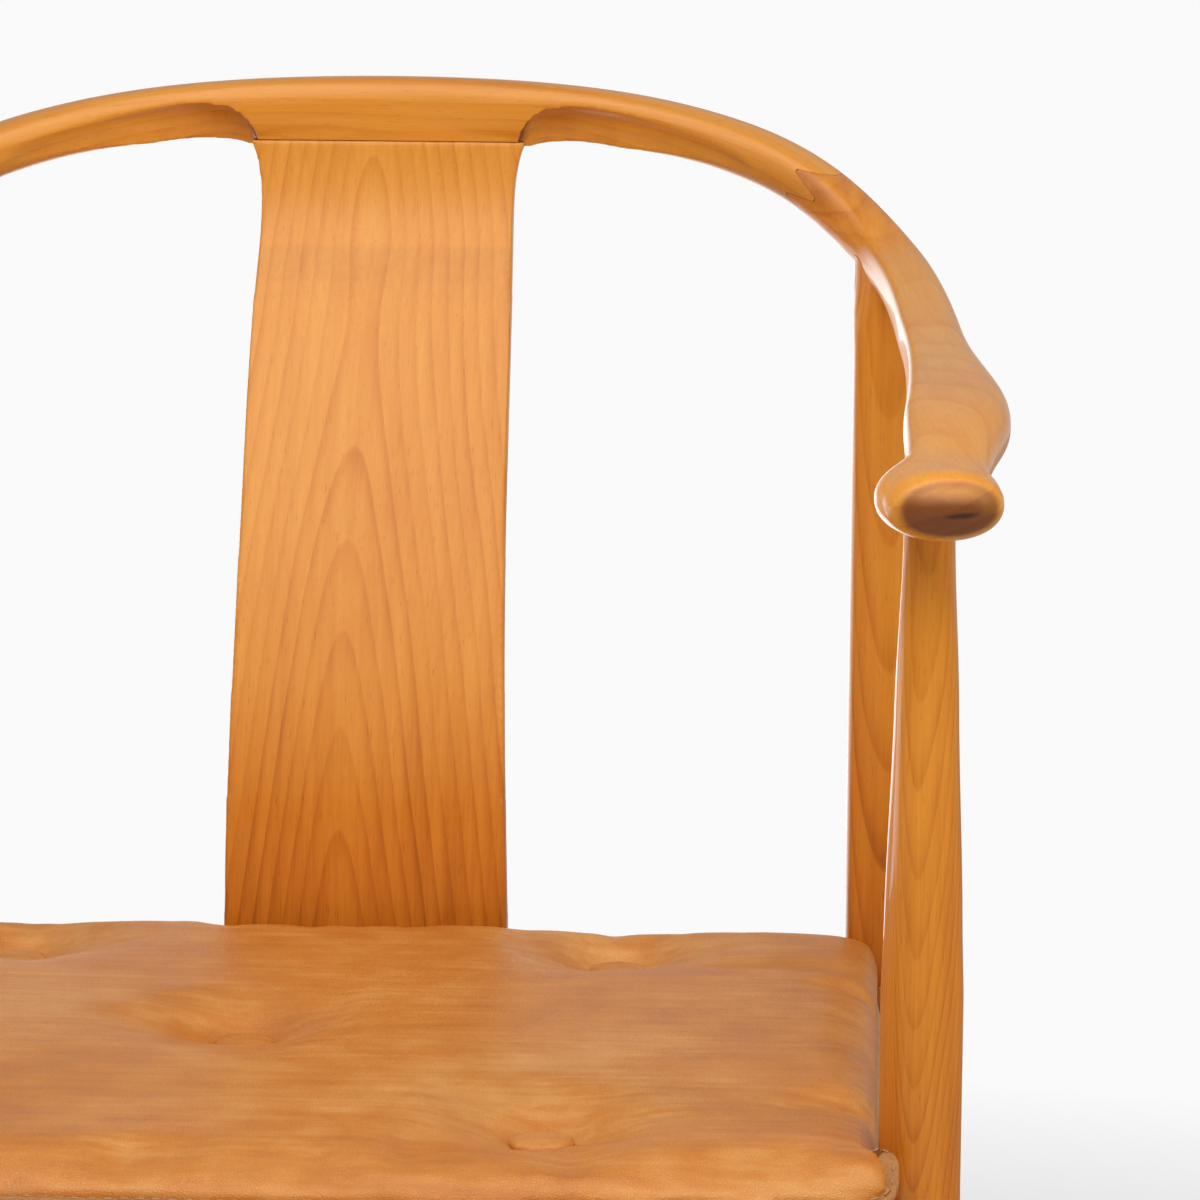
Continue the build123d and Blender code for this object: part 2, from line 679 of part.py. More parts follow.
def glide_bore(x, y):
    """Bore in a leg's foot for the pin of its glide."""
    with Locations((x, y, 0)):
        Cylinder(glide_pin_radius + hole_fit, glide_height + glide_pin_length + end_gap,
                 align=(Align.CENTER, Align.CENTER, Align.MIN), mode=Mode.SUBTRACT)


with BuildPart() as front_leg_right:
    add(front_leg_blank)
    add(rail_seat, mode=Mode.SUBTRACT)
    leg_top_tenon(front_leg_x, front_leg_y, neck_z)
    add(lap_notch.part, mode=Mode.SUBTRACT)
    mortise(front_side_tenon, *rail_tenon)
    mortise(front_stretcher_tenon, *stretcher_tenon)
    mortise(side_stretcher_front, *stretcher_tenon)
    glide_bore(front_leg_x, front_leg_y)

with BuildPart() as rear_leg_right:
    add(rear_leg_blank)
    add(rail_seat, mode=Mode.SUBTRACT)
    leg_top_tenon(rear_leg_x, rear_leg_y, rear_rest_z)
    mortise(rear_side_tenon, *rail_tenon)
    mortise(rear_rail_tenon, *rail_tenon)
    mortise(rear_stretcher_tenon, *stretcher_tenon)
    mortise(side_stretcher_rear, *stretcher_tenon)
    glide_bore(rear_leg_x, rear_leg_y)

with BuildPart() as front_leg_left:
    add(front_leg_right.part.mirror(Plane.YZ))

with BuildPart() as rear_leg_left:
    add(rear_leg_right.part.mirror(Plane.YZ))

# ---------------------------------------------------------------- glides
with BuildPart() as leg_glides:
    for x, y in leg_pairs:
        with Locations((x, y, 0)):
            Cylinder(glide_radius, glide_height, align=(Align.CENTER, Align.CENTER, Align.MIN))
        with Locations((x, y, glide_height)):
            Cylinder(glide_pin_radius, glide_pin_length,
                     align=(Align.CENTER, Align.CENTER, Align.MIN))

# ---------------------------------------------------------------- corner blocks and screws
front_corner = (side_line_x(front_inner_y) - side_rail_thickness / 2, front_inner_y)
rear_corner = (side_line_x(rear_inner_y) - side_rail_thickness / 2, rear_inner_y)
block_middle = (block_near + block_far) / 2
block_width = block_far - block_near
block_z = panel_bottom - block_height / 2
Corner = namedtuple("Corner", "name x y towards_x towards_y")
corners = [
    Corner("corner_block_front_right", *front_corner, -1, 1),
    Corner("corner_block_front_left", -front_corner[0], front_corner[1], 1, 1),
    Corner("corner_block_rear_right", *rear_corner, -1, -1),
    Corner("corner_block_rear_left", -rear_corner[0], rear_corner[1], 1, -1),
]


def screw_places(corner):
    """Seats of a block's three screws; each screw is driven along -z of its place."""
    side_y = corner.y + corner.towards_y * block_middle * sqrt(2)
    side_x = copysign(side_line_x(side_y) - side_rail_thickness / 2, corner.x)
    end_x = corner.x + corner.towards_x * block_middle * sqrt(2)
    centre = block_middle / sqrt(2)
    panel_seat_z = panel_bottom + panel_screw_bite - screw_length
    return [
        Plane(origin=(side_x + corner.towards_x * screw_grip, side_y, block_z),
              z_dir=(corner.towards_x, 0, 0)),
        Plane(origin=(end_x, corner.y + corner.towards_y * screw_grip, block_z),
              z_dir=(0, corner.towards_y, 0)),
        Plane(origin=(corner.x + corner.towards_x * centre, corner.y + corner.towards_y * centre,
                      panel_seat_z),
              z_dir=(0, 0, -1)),
    ]


def screw_holes(places):
    """Shank holes with counterbores for the heads, cut along the screws' own lines."""
    with Locations(*[place.location for place in places]):
        Cylinder(screw_radius + hole_fit, screw_length + end_gap, mode=Mode.SUBTRACT,
                 align=(Align.CENTER, Align.CENTER, Align.MAX))
        Cylinder(counterbore_radius, block_far, mode=Mode.SUBTRACT,
                 align=(Align.CENTER, Align.CENTER, Align.MIN))


def screws(places):
    """Flat-headed wood screws standing in their places."""
    with Locations(*[place.location for place in places]):
        Cylinder(screw_radius, screw_length, align=(Align.CENTER, Align.CENTER, Align.MAX))
        Cylinder(screw_head_radius, screw_head_height, align=(Align.CENTER, Align.CENTER, Align.MIN))


block_screw_places = [screw_places(c)[k] for c in corners for k in (0, 1)]
panel_screw_places = [screw_places(c)[2] for c in corners]

blocks = []
for corner in corners:
    with BuildPart() as block:
        extrude(frame_opening(panel_bottom - block_height, -tenon_fit), amount=block_height)
        with Locations(Plane(origin=(corner.x + corner.towards_x * block_middle / sqrt(2),
                                     corner.y + corner.towards_y * block_middle / sqrt(2), block_z),
                             x_dir=(corner.towards_x, corner.towards_y, 0),
                             z_dir=(0, 0, 1)).location):
            Box(block_width, 3 * block_far, 2 * block_height, mode=Mode.INTERSECT)
        screw_holes(screw_places(corner))
    block.part.label = corner.name
    blocks.append(block.part)

with BuildPart() as corner_block_screws:
    screws(block_screw_places)

with BuildPart() as seat_panel_screws:
    screws(panel_screw_places)


def drill(piece, places):
    """Return the piece with holes for the screws that are driven into it."""
    with BuildPart() as drilled:
        add(piece.part)
        with Locations(*[place.location for place in places]):
            Cylinder(screw_radius + hole_fit, screw_length + end_gap, mode=Mode.SUBTRACT,
                     align=(Align.CENTER, Align.CENTER, Align.MAX))
    return drilled


front_seat_rail = drill(front_seat_rail, block_screw_places)
rear_seat_rail = drill(rear_seat_rail, block_screw_places)
side_seat_rail_right = drill(side_seat_rail_right, block_screw_places)
side_seat_rail_left = drill(side_seat_rail_left, block_screw_places)
seat_panel = drill(seat_panel, panel_screw_places)

# ---------------------------------------------------------------- cushion
button_places = [
    (button_centre_x + button_skew - button_spread, button_back_y),
    (button_centre_x + button_skew + button_spread, button_back_y),
    (button_centre_x, (button_back_y + button_front_y) / 2),
    (button_centre_x - button_spread, button_front_y),
    (button_centre_x + button_spread, button_front_y),
]
nose_y = front_leg_y - front_leg_seat / 2 - leg_clearance


def cushion_outline(z):
    """Plan of the cushion: rounded at the back, nosed out in front of the front legs."""
    corner_y = cushion_front_y + cushion_front_bow
    right = [(cushion_side_x, cushion_back_y), (cushion_side_x, nose_y),
             (cushion_nose_x, nose_y - nose_run), (cushion_nose_x, corner_y)]
    with BuildSketch(Plane.XY.offset(z)) as plan:
        with BuildLine():
            Polyline(*right)
            Polyline(*[(-x, y) for x, y in right])
            Line((cushion_side_x, cushion_back_y), (-cushion_side_x, cushion_back_y))
            ThreePointArc((cushion_nose_x, corner_y), (0, cushion_front_y), (-cushion_nose_x, corner_y))
        make_face()
        fillet(plan.vertices().group_by(Axis.Y)[-1], cushion_back_radius)
        fillet(plan.vertices().group_by(Axis.Y)[0], cushion_front_radius)
    return plan.sketch


def cushion_form(inset):
    """The buttoned cushion as one solid, drawn in by `inset` all round."""
    bottom = cushion_bottom + inset
    height = cushion_thickness - 2 * inset
    with BuildPart() as form:
        with BuildSketch(Plane.XY.offset(bottom)):
            add(cushion_outline(bottom))
            offset(amount=-inset)
        extrude(amount=height)
        fillet(form.faces().sort_by(Axis.Z)[-1].edges(), cushion_edge_radius - inset)
        for x, y in button_places:
            with Locations((x, y, cushion_bottom + button_floor - inset)):
                Cone(button_radius + button_gap + inset, dimple_radius + inset,
                     cushion_thickness - button_floor, mode=Mode.SUBTRACT,
                     align=(Align.CENTER, Align.CENTER, Align.MIN))
            with Locations((x, y, cushion_bottom)):
                Cylinder(button_radius + button_gap + inset, lower_button_height + cushion_lift + inset,
                         align=(Align.CENTER, Align.CENTER, Align.MIN), mode=Mode.SUBTRACT)
                Cylinder(tuft_cord_radius + hole_fit, cushion_thickness, mode=Mode.SUBTRACT,
                         align=(Align.CENTER, Align.CENTER, Align.MIN))
    return form.part


with BuildPart() as cushion_cover:
    add(cushion_form(0))
    add(cushion_form(leather), mode=Mode.SUBTRACT)

with BuildPart() as cushion_core:
    add(cushion_form(leather + core_gap))

with BuildPart() as cushion_buttons:
    with Locations(*[(x, y, cushion_bottom + button_floor) for x, y in button_places]):
        Cylinder(button_radius, button_height, align=(Align.CENTER, Align.CENTER, Align.MIN))
    fillet(cushion_buttons.faces().filter_by(Axis.Z).group_by(Axis.Z)[-1].edges(), button_rounding)

lower_button_top = cushion_bottom + cushion_lift + lower_button_height

with BuildPart() as cushion_underside_buttons:
    with Locations(*[(x, y, lower_button_top) for x, y in button_places]):
        Cylinder(button_radius, lower_button_height, align=(Align.CENTER, Align.CENTER, Align.MAX))

with BuildPart() as tufting_cords:
    with Locations(*[(x, y, lower_button_top) for x, y in button_places]):
        Cylinder(tuft_cord_radius, cushion_bottom + button_floor - lower_button_top,
                 align=(Align.CENTER, Align.CENTER, Align.MIN))

# ---------------------------------------------------------------- labels and files
pieces = {
    "crest_rail": crest_rail, "arm_right": arm_right, "arm_left": arm_left,
    "back_splat": back_splat,
    "front_leg_right": front_leg_right, "front_leg_left": front_leg_left,
    "rear_leg_right": rear_leg_right, "rear_leg_left": rear_leg_left,
    "front_seat_rail": front_seat_rail, "rear_seat_rail": rear_seat_rail,
    "side_seat_rail_right": side_seat_rail_right, "side_seat_rail_left": side_seat_rail_left,
    "front_stretcher": front_stretcher, "rear_stretcher": rear_stretcher,
    "side_stretcher_right": side_stretcher_right, "side_stretcher_left": side_stretcher_left,
    "seat_panel": seat_panel, "seat_panel_screws": seat_panel_screws,
    "corner_block_screws": corner_block_screws, "leg_glides": leg_glides,
    "cushion_cover": cushion_cover, "cushion_core": cushion_core,
    "cushion_buttons": cushion_buttons, "cushion_underside_buttons": cushion_underside_buttons,
    "tufting_cords": tufting_cords,
}
for name, piece in pieces.items():
    piece.part.label = name
    export_step(piece.part, f"parts/{name}.step")
for block in blocks:
    export_step(block, f"parts/{block.label}.step")
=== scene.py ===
"""Horseshoe back armchair in oiled cherry with a loose, buttoned leather cushion.

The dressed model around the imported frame, in metres: +X to the right as seen from the front,
+Y to the chair's back, +Z up.  It follows the order in which the chair is put together.
"""
import bpy
import bmesh
import math
import numpy as np
from mathutils import Matrix, Vector, noise


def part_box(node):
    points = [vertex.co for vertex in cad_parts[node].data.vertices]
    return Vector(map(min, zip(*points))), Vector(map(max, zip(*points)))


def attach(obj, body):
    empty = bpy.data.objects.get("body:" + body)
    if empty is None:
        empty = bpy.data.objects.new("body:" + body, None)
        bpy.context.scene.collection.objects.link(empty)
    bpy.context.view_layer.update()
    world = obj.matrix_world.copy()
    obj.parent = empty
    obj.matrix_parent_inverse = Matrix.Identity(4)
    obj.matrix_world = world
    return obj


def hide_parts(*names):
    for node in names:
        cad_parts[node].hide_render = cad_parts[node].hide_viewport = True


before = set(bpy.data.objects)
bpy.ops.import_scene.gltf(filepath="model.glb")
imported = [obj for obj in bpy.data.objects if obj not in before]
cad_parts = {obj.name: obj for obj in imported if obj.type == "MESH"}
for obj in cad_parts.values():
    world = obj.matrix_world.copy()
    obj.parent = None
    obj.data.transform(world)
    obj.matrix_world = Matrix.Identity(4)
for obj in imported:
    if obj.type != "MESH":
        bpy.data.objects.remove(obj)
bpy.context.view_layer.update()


# ------------------------ front legs
# Solid cherry, planed from square stock and rounded towards the top. The front seat
# rail is lapped into their front faces. The finish of every cherry piece starts here.
class Level:
    """A number that varies over a surface; Python's operators on it add Math nodes."""

    def __init__(self, finish, socket):
        self.finish = finish
        self.socket = socket

    def math(self, operation, *values):
        return self.finish.level("ShaderNodeMath", {"operation": operation}, *values)

    def __add__(self, other):
        return self.math("ADD", self, other)

    def __sub__(self, other):
        return self.math("SUBTRACT", self, other)

    def __mul__(self, other):
        return self.math("MULTIPLY", self, other)

    def __truediv__(self, other):
        return self.math("DIVIDE", self, other)

    def __pow__(self, other):
        return self.math("POWER", self, other)

    def __rsub__(self, other):
        return self.math("SUBTRACT", other, self)

    __radd__ = __add__
    __rmul__ = __mul__

    def fract(self):
        return self.math("FRACT", self)

    def clip(self):
        return self.finish.level("ShaderNodeClamp", {}, self)


class Finish:
    """One material: a Principled surface and the nodes that feed it."""

    def __init__(self, name):
        self.material = bpy.data.materials.new(name)
        self.material.use_nodes = True
        self.tree = self.material.node_tree
        self.tree.nodes.clear()
        self.skin = self.node("ShaderNodeBsdfPrincipled")
        self.out = self.node("ShaderNodeOutputMaterial", {}, {"Surface": self.skin.outputs[0]})
        coordinates = self.node("ShaderNodeTexCoord").outputs
        self.place, self.facing = coordinates["Object"], coordinates["Normal"]

    def node(self, kind, settings=None, sockets=None):
        """Any node: its settings first, then the values or links of its sockets."""
        made = self.tree.nodes.new(kind)
        for key, value in (settings or {}).items():
            if key == "stops":
                elements = made.color_ramp.elements
                elements.remove(elements[1])
                elements[0].position, elements[0].color = value[0][0], (*value[0][1], 1.0)
                for stop, colour in value[1:]:
                    elements.new(stop).color = (*colour, 1.0)
            else:
                setattr(made, key, value)
        self.feed(made, sockets or {})
        return made

    def feed(self, made, sockets):
        """Give a node's sockets their links, numbers or colours."""
        for key, value in sockets.items():
            socket = made.inputs[key]
            if isinstance(value, Level):
                value = value.socket
            if isinstance(value, bpy.types.NodeSocket):
                self.tree.links.new(value, socket)
            elif socket.type == "RGBA":
                socket.default_value = (*value, 1.0)
            else:
                socket.default_value = value

    def level(self, kind, settings, *inputs):
        return Level(self, self.node(kind, settings, dict(enumerate(inputs))).outputs[0])

    def along(self, vector, axis):
        """One of a vector's three numbers."""
        return Level(self, self.node("ShaderNodeSeparateXYZ", {}, {"Vector": vector}).outputs[axis])

    def vectors(self, operation, *inputs):
        return self.node("ShaderNodeVectorMath", {"operation": operation}, dict(enumerate(inputs))).outputs

    def noise(self, place, scale, detail=2.0, rough=0.5):
        return self.level("ShaderNodeTexNoise", {}, place, 0.0, scale, detail, rough)

    def stretched(self, place, scale):
        return self.node("ShaderNodeMapping", {}, {"Vector": place, "Scale": scale}).outputs[0]

    def seen_from(self, place, location, rotation, scale=(1.0, 1.0, 1.0)):
        """Places as seen from a spot in or on the piece, in its own directions and sizes."""
        return self.node("ShaderNodeMapping", {"vector_type": "TEXTURE"}, {
            "Vector": place, "Location": location, "Rotation": rotation, "Scale": scale}).outputs[0]

    def ramp(self, factor, stops):
        return self.node("ShaderNodeValToRGB", {"stops": stops}, {"Fac": factor}).outputs[0]

    def mix(self, factor, first, second):
        return self.node("ShaderNodeMix", {"data_type": "RGBA"},
                         {"Factor": factor, 6: first, 7: second}).outputs[2]

    def coat(self, colour, roughness, height, strength, distance):
        """Colour and roughness of the surface, and the height of its small unevenness."""
        bump = self.node("ShaderNodeBump", {}, {"Strength": strength, "Distance": distance,
                                               "Height": height})
        self.feed(self.skin, {"Base Color": colour, "Roughness": roughness, "Normal": bump.outputs[0]})


def grain_turn(grain, across):
    """Rotation whose local z is the grain and local x points across it."""
    z = Vector(grain).normalized()
    x = (Vector(across) - z * z.dot(Vector(across))).normalized()
    return Matrix((x, z.cross(x), z)).transposed().to_euler()


cherry_tones = [(0.0, (0.820, 0.345, 0.045)), (0.3, (0.730, 0.262, 0.024)),
                (0.6, (0.570, 0.168, 0.012)), (1.0, (0.290, 0.065, 0.007))]
pore_tone, end_tone, end_ring_tone = (0.20, 0.045, 0.010), (0.135, 0.031, 0.008), (0.15, 0.040, 0.012)
crack_tone, crack_size, crack_tilt = (0.035, 0.014, 0.008), (0.0085, 0.02, 0.0016), math.radians(-4)


def cherry(name, grain, pith, across=(1, 0, 0), taper=0.0, ring=0.0032, tone=0.0, figure=1.0, lines=0.42,
           bend=(), bend_axis="Z", check=None, darker=None):
    """Oiled cherry: `grain` is its direction, `pith` a point on the tree's centre line.

    A piece bent along its grain has `bend`: how far back and up it lies at each point of its
    `bend_axis`, as pairs of polynomial factors.  `check` is the place of a drying crack, and
    `darker` an axis with where the piece starts to darken, over what length and how much.
    """
    wood = Finish(name)
    place = wood.place
    if len(bend):
        run = wood.along(place, bend_axis)
        back, up = run * 0, run * 0
        for factor_back, factor_up in bend:
            back, up = back * run + float(factor_back), up * run + float(factor_up)
        bent = wood.node("ShaderNodeCombineXYZ", {}, {"Y": back, "Z": up}).outputs[0]
        place = wood.vectors("SUBTRACT", place, bent)[0]
    log = wood.seen_from(place, pith, grain_turn(grain, across))
    # slow waves of the trunk, drawn out along the grain
    sway = wood.node("ShaderNodeTexNoise", {}, {"Vector": wood.stretched(log, (1, 1, 0.16)), "Scale": 16.0,
                                               "Detail": 3.0, "Roughness": 0.45}).outputs["Color"]
    wavy = wood.vectors("MULTIPLY_ADD", sway, (0.012 * figure, 0.012 * figure, 0.0), log)[0]
    x, y, z = (wood.along(wavy, axis) for axis in "XYZ")
    radius = (x * x + y * y) ** 0.5 + z * taper
    year = radius / ring + wood.noise(wood.stretched(log, (0.3, 0.3, 0.1)), 30.0) * 1.5
    season = year.fract()
    # each year darkens slowly and ends in a thin dark line; some years are stronger
    late = (season ** 3.5) * (1 - season ** 24.0)
    strength = wood.noise(wood.node("ShaderNodeCombineXYZ", {}, {"X": year * 0.37}).outputs[0], 1.0, 1.0)
    late = late * (strength * 1.7 - 0.25).clip()
    # fibres, streaks and short pores, all drawn out along the grain
    fibre = wood.noise(wood.stretched(wavy, (1, 1, 0.02)), 900.0, 3.0, 0.65)
    streak = wood.noise(wood.stretched(wavy, (1, 1, 0.045)), 130.0, 3.0, 0.6)
    pore = ((wood.noise(wood.stretched(log, (1, 1, 0.06)), 2300.0, 1.0) - 0.66) * 9.0).clip()
    cloud = wood.noise(wood.stretched(log, (1, 1, 0.3)), 14.0, 2.0)
    shade = late * lines + (fibre - 0.5) * 0.30 + (streak - 0.5) * 0.55 + (cloud - 0.5) * 0.4 + 0.3 + tone
    if darker:
        # darker along one axis past a start point: on the splat this is painted shade where the cushion
        # shades its foot, on the arms a deeper tone of their own wood towards the finger joint, and the legs
        # just grow darker towards the bottom
        axis, start, over, more = darker
        shade = shade + ((wood.along(place, axis) - start) / over).clip() * more
    colour = wood.mix(pore * 0.35, wood.ramp(shade.clip(), cherry_tones), pore_tone)
    # end grain drinks the oil and goes darker and redder
    facing = Level(wood, wood.vectors("DOT_PRODUCT", wood.facing, tuple(Vector(grain).normalized()))["Value"])
    end = ((facing * facing - 0.25) * 1.6).clip()
    colour = wood.mix(end * 0.90, colour, end_tone)
    colour = wood.mix(end * late * 0.6, colour, end_ring_tone)
    if check:
        crack = wood.seen_from(wood.place, check, (0.0, crack_tilt, 0.0), crack_size)
        length = Level(wood, wood.vectors("LENGTH", crack)["Value"])
        open_part = ((1.25 - length - wood.noise(crack, 1.7, 3.0) * 0.7) * 2.0).clip()
        colour = wood.mix(open_part * 0.8, colour, crack_tone)
    wood.coat(colour, 0.32 + (fibre - 0.5) * 0.16 + late * 0.08 + end * 0.1,
              fibre * 0.4 + streak * 0.4 - pore * 0.8 - late * 0.3, 0.14, 0.0004)
    wood.feed(wood.skin, {"Coat Weight": 0.45, "Coat Roughness": 0.06, "Specular IOR Level": 0.2})
    return wood.material


def ease(share):
    """0 to 1 with a level start and end."""
    share = np.clip(share, 0, 1)
    return share * share * (3 - 2 * share)


def squared(wave, power):
    """A sine or cosine pushed out towards a square's."""
    return np.sign(wave) * np.abs(wave) ** power


def new_piece(name, places, faces, join=1e-6):
    """A mesh piece with its faces turned outwards; points closer than `join` become one."""
    mesh = bpy.data.meshes.new(name)
    mesh.from_pydata([tuple(float(c) for c in p) for p in places], [], faces)
    shape = bmesh.new()
    shape.from_mesh(mesh)
    bmesh.ops.remove_doubles(shape, verts=shape.verts, dist=join)
    bmesh.ops.recalc_face_normals(shape, faces=shape.faces)
    shape.to_mesh(mesh)
    shape.free()
    piece = bpy.data.objects.new(name, mesh)
    bpy.context.collection.objects.link(piece)
    return piece


def ring_faces(rows, count, first=0):
    """Faces between rows of points, each row closed round."""
    return [(first + i * count + j, first + i * count + (j + 1) % count,
             first + (i + 1) * count + (j + 1) % count, first + (i + 1) * count + j)
            for i in range(rows - 1) for j in range(count)]


pole_reach = 0.25  # of the last step between rings


def tube(name, rings, dome=0.0):
    """A closed skin over a run of rings; each end is drawn in to its middle, domed if wanted."""
    ends = []
    for ring, inner in ((rings[0], rings[1]), (rings[-1], rings[-2])):
        middle = ring.mean(axis=0)
        out = middle - inner.mean(axis=0)
        out *= dome / max(np.linalg.norm(out), 1e-9)
        ends.append([middle + (ring - middle) * share + out * (1 - share**2) for share in (0.75, 0.5, 0.25)])
    rings = ends[0][::-1] + list(rings) + ends[1]
    count = len(rings[0])
    poles = [rings[k].mean(axis=0) + (rings[k].mean(axis=0) - rings[inner].mean(axis=0)) * pole_reach
             for k, inner in ((0, 1), (-1, -2))]
    places = np.vstack([*rings, *poles])
    last = (len(rings) - 1) * count
    faces = ring_faces(len(rings), count)
    faces += [(len(places) - 2, (j + 1) % count, j) for j in range(count)]
    faces += [(len(places) - 1, last + j, last + (j + 1) % count) for j in range(count)]
    return new_piece(name, places, faces)


def settle(piece):
    """Make the piece's modifiers part of its mesh."""
    bpy.context.view_layer.update()
    mesh = bpy.data.meshes.new_from_object(piece.evaluated_get(bpy.context.evaluated_depsgraph_get()))
    piece.modifiers.clear()
    piece.data = mesh
    return piece


def cut(piece, tool, how, keep=False):
    """Join or cut a piece with a tool, which is put away afterwards unless it is kept."""
    step = piece.modifiers.new("cut", "BOOLEAN")
    step.operation, step.solver, step.object = how, "MANIFOLD", tool
    settle(piece)
    if not keep:
        bpy.data.objects.remove(tool)
    return piece


leg_round, leg_step = 56, 0.006  # points round a leg, height between its rings


def leg_rings(x, y, sections):
    """Rings up a leg: a squared oval at each height, as wide and as turned as its section says."""
    heights, widths, squares, turns = np.array(sections).T
    angle = np.linspace(0, 2 * np.pi, leg_round, endpoint=False)
    rings = []
    for z in np.concatenate([np.arange(heights[0], heights[-1], leg_step), heights[-1:]]):
        k = min(max(np.searchsorted(heights, z, side="right") - 1, 0), len(heights) - 2)
        share = (z - heights[k]) / (heights[k + 1] - heights[k])
        share = ease(share) * 0.5 + share * 0.5
        width, square, turn = (v[k] + (v[k + 1] - v[k]) * share for v in (widths, squares, turns))
        flat = np.column_stack([squared(wave, 2 / square) for wave in (np.cos(angle), np.sin(angle))])
        c, s = math.cos(math.radians(turn)), math.sin(math.radians(turn))
        flat = flat @ np.array([[c, s], [-s, c]])
        flat *= width / 2 / np.abs(flat[:, 0]).max()
        rings.append(np.column_stack([flat + (x, y), np.full(leg_round, z)]))
    return rings


def hard_edges(piece, angle):
    """Smooth shading with hard edges above the angle, in degrees."""
    piece.data.shade_smooth()
    piece.data.set_sharp_from_angle(angle=math.radians(angle))


def finish_leg(name, node, rings, side, wood):
    """One leg from its rings, mirrored for the left-hand one."""
    leg = tube(name, [ring * (side, 1, 1) for ring in rings])
    leg.data.materials.append(wood)
    hard_edges(leg, 50)
    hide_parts(node)
    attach(leg, "frame")
    return leg


front_leg_x, front_leg_y = 0.2465, -0.215
# height, width, squareness, turn of the section in degrees
front_leg_sections = [(0.004, 0.0225, 3.6, 0), (0.006, 0.0240, 4.0, 0), (0.363, 0.0310, 4.0, 0),
                      (0.400, 0.0310, 3.6, 8), (0.430, 0.0310, 3.3, 26), (0.500, 0.0310, 3.2, 24),
                      (0.530, 0.0292, 2.9, 20), (0.610, 0.0240, 2.6, 8), (0.672, 0.0191, 2.3, -8),
                      (0.697, 0.0186, 2.2, -10)]
same_point = 0.00002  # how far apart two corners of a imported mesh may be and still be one
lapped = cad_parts["front_seat_rail"]
for hand, side in (("right", 1), ("left", -1)):
    node = "front_leg_" + hand
    wood = cherry(node + "_cherry", grain=(0.01 * side, 0.004, 1), pith=(0.248 * side, -0.252, 0.5),
                  taper=-0.10, ring=0.0022, tone=0.03, figure=0.7, lines=0.36,
                  darker=("Z", 0.60, -0.15, 0.22))
    leg = finish_leg(node + "_planed", node, leg_rings(front_leg_x, front_leg_y, front_leg_sections), side,
                     wood)
    # notch for the end of the front seat rail
    lap = new_piece("lap", [lapped.matrix_world @ v.co for v in lapped.data.vertices],
                    [tuple(face.vertices) for face in lapped.data.polygons], join=same_point)
    cut(leg, lap, "DIFFERENCE")

# ------------------------ rear legs
# Cherry again, sawn so that the tree's rings run down the front face in long arches. Each
# is coped to the rail, which crosses it at a slant, and planed back where it is wider.
rear_leg_x, rear_leg_y = 0.230, 0.148
rear_leg_sections = [(0.004, 0.0235, 3.6, 0), (0.006, 0.0250, 4.2, 0), (0.363, 0.0300, 4.2, 0),
                     (0.545, 0.0300, 4.2, 0), (0.690, 0.0298, 3.6, 0), (0.735, 0.0296, 3.2, 0)]
# the rail over the leg: its direction seen from above, its fall and its height
rail_way, rail_fall, rail_height = np.array((0.5, -0.866)), -0.42, 0.7452
rail_across = (-rail_way[1], rail_way[0])
cope_from, planed_from, planed_half, planed_slope = 0.700, 0.728, 0.0126, 0.25
for hand, side in (("right", 1), ("left", -1)):
    rings = leg_rings(rear_leg_x, rear_leg_y, rear_leg_sections)
    leg_top = rings[-1][0][2]
    for ring in rings:
        off = ring[:, :2] - (rear_leg_x, rear_leg_y)
        sideways = off @ rail_across
        spare = planed_half + max(0.0, planed_from - ring[0][2]) * planed_slope
        ring[:, :2] += (np.clip(sideways, -spare, spare) - sideways)[:, None] * rail_across
        under_rail = rail_height + rail_fall * (off @ rail_way)
        coped = np.clip((ring[:, 2] - cope_from) / (leg_top - cope_from), 0, 1)
        ring[:, 2] += coped * (under_rail - leg_top)
    node = "rear_leg_" + hand
    wood = cherry(node + "_cherry", grain=(0.004 * side, -0.012, 1), pith=(0.236 * side, 0.108, 0.6),
                  taper=-0.09, ring=0.0042, tone=0.0, figure=0.5, lines=0.5,
                  darker=("Z", 0.58, -0.13, 0.22))
    finish_leg(node + "_planed", node, rings, side, wood)


# ------------------------ seat frame and stretchers
# Four rails tenoned into the legs, each swept deeper at its ends, and four stretchers, all
# of cherry sawn from planks and planed.
def dress(node, material):
    """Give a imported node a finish."""
    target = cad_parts[node]
    target.data.materials.clear()
    target.data.materials.append(material)
    return target


def plane_off(node, voxel, passes=4):
    """Ease a node's edges as a plane and sandpaper do; its own mesh stays as it is."""
    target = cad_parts[node]
    target.modifiers.new("weld", "WELD").merge_threshold = same_point
    even = target.modifiers.new("ease", "REMESH")
    even.mode, even.voxel_size, even.use_smooth_shade = "VOXEL", voxel, True
    sand = target.modifiers.new("sand", "SMOOTH")
    sand.factor, sand.iterations = 0.5, passes


rail_voxel, pith_behind, pith_beside = 0.0016, 0.055, 0.300
for k, node in enumerate(["front_seat_rail", "rear_seat_rail", "front_stretcher", "rear_stretcher"]):
    low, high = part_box(node)
    pith = (0.0, (low[1] + high[1]) / 2 - pith_behind, (low[2] + high[2]) / 2 - 0.02 * k)
    dress(node, cherry(node + "_cherry", grain=(1, 0.01, 0.012), across=(0, 1, 0), pith=pith, taper=0.015,
                       tone=0.04))
    plane_off(node, rail_voxel)
for k, node in enumerate(["side_seat_rail_right", "side_seat_rail_left", "side_stretcher_right",
                          "side_stretcher_left"]):
    low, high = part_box(node)
    side = 1 if low[0] > 0 else -1
    pith = (side * pith_beside, 0.0, (low[2] + high[2]) / 2 + 0.01 * k)
    dress(node, cherry(node + "_cherry", grain=(-0.045 * side, 1, 0.008), pith=pith, taper=0.012, tone=0.04))
    plane_off(node, rail_voxel)

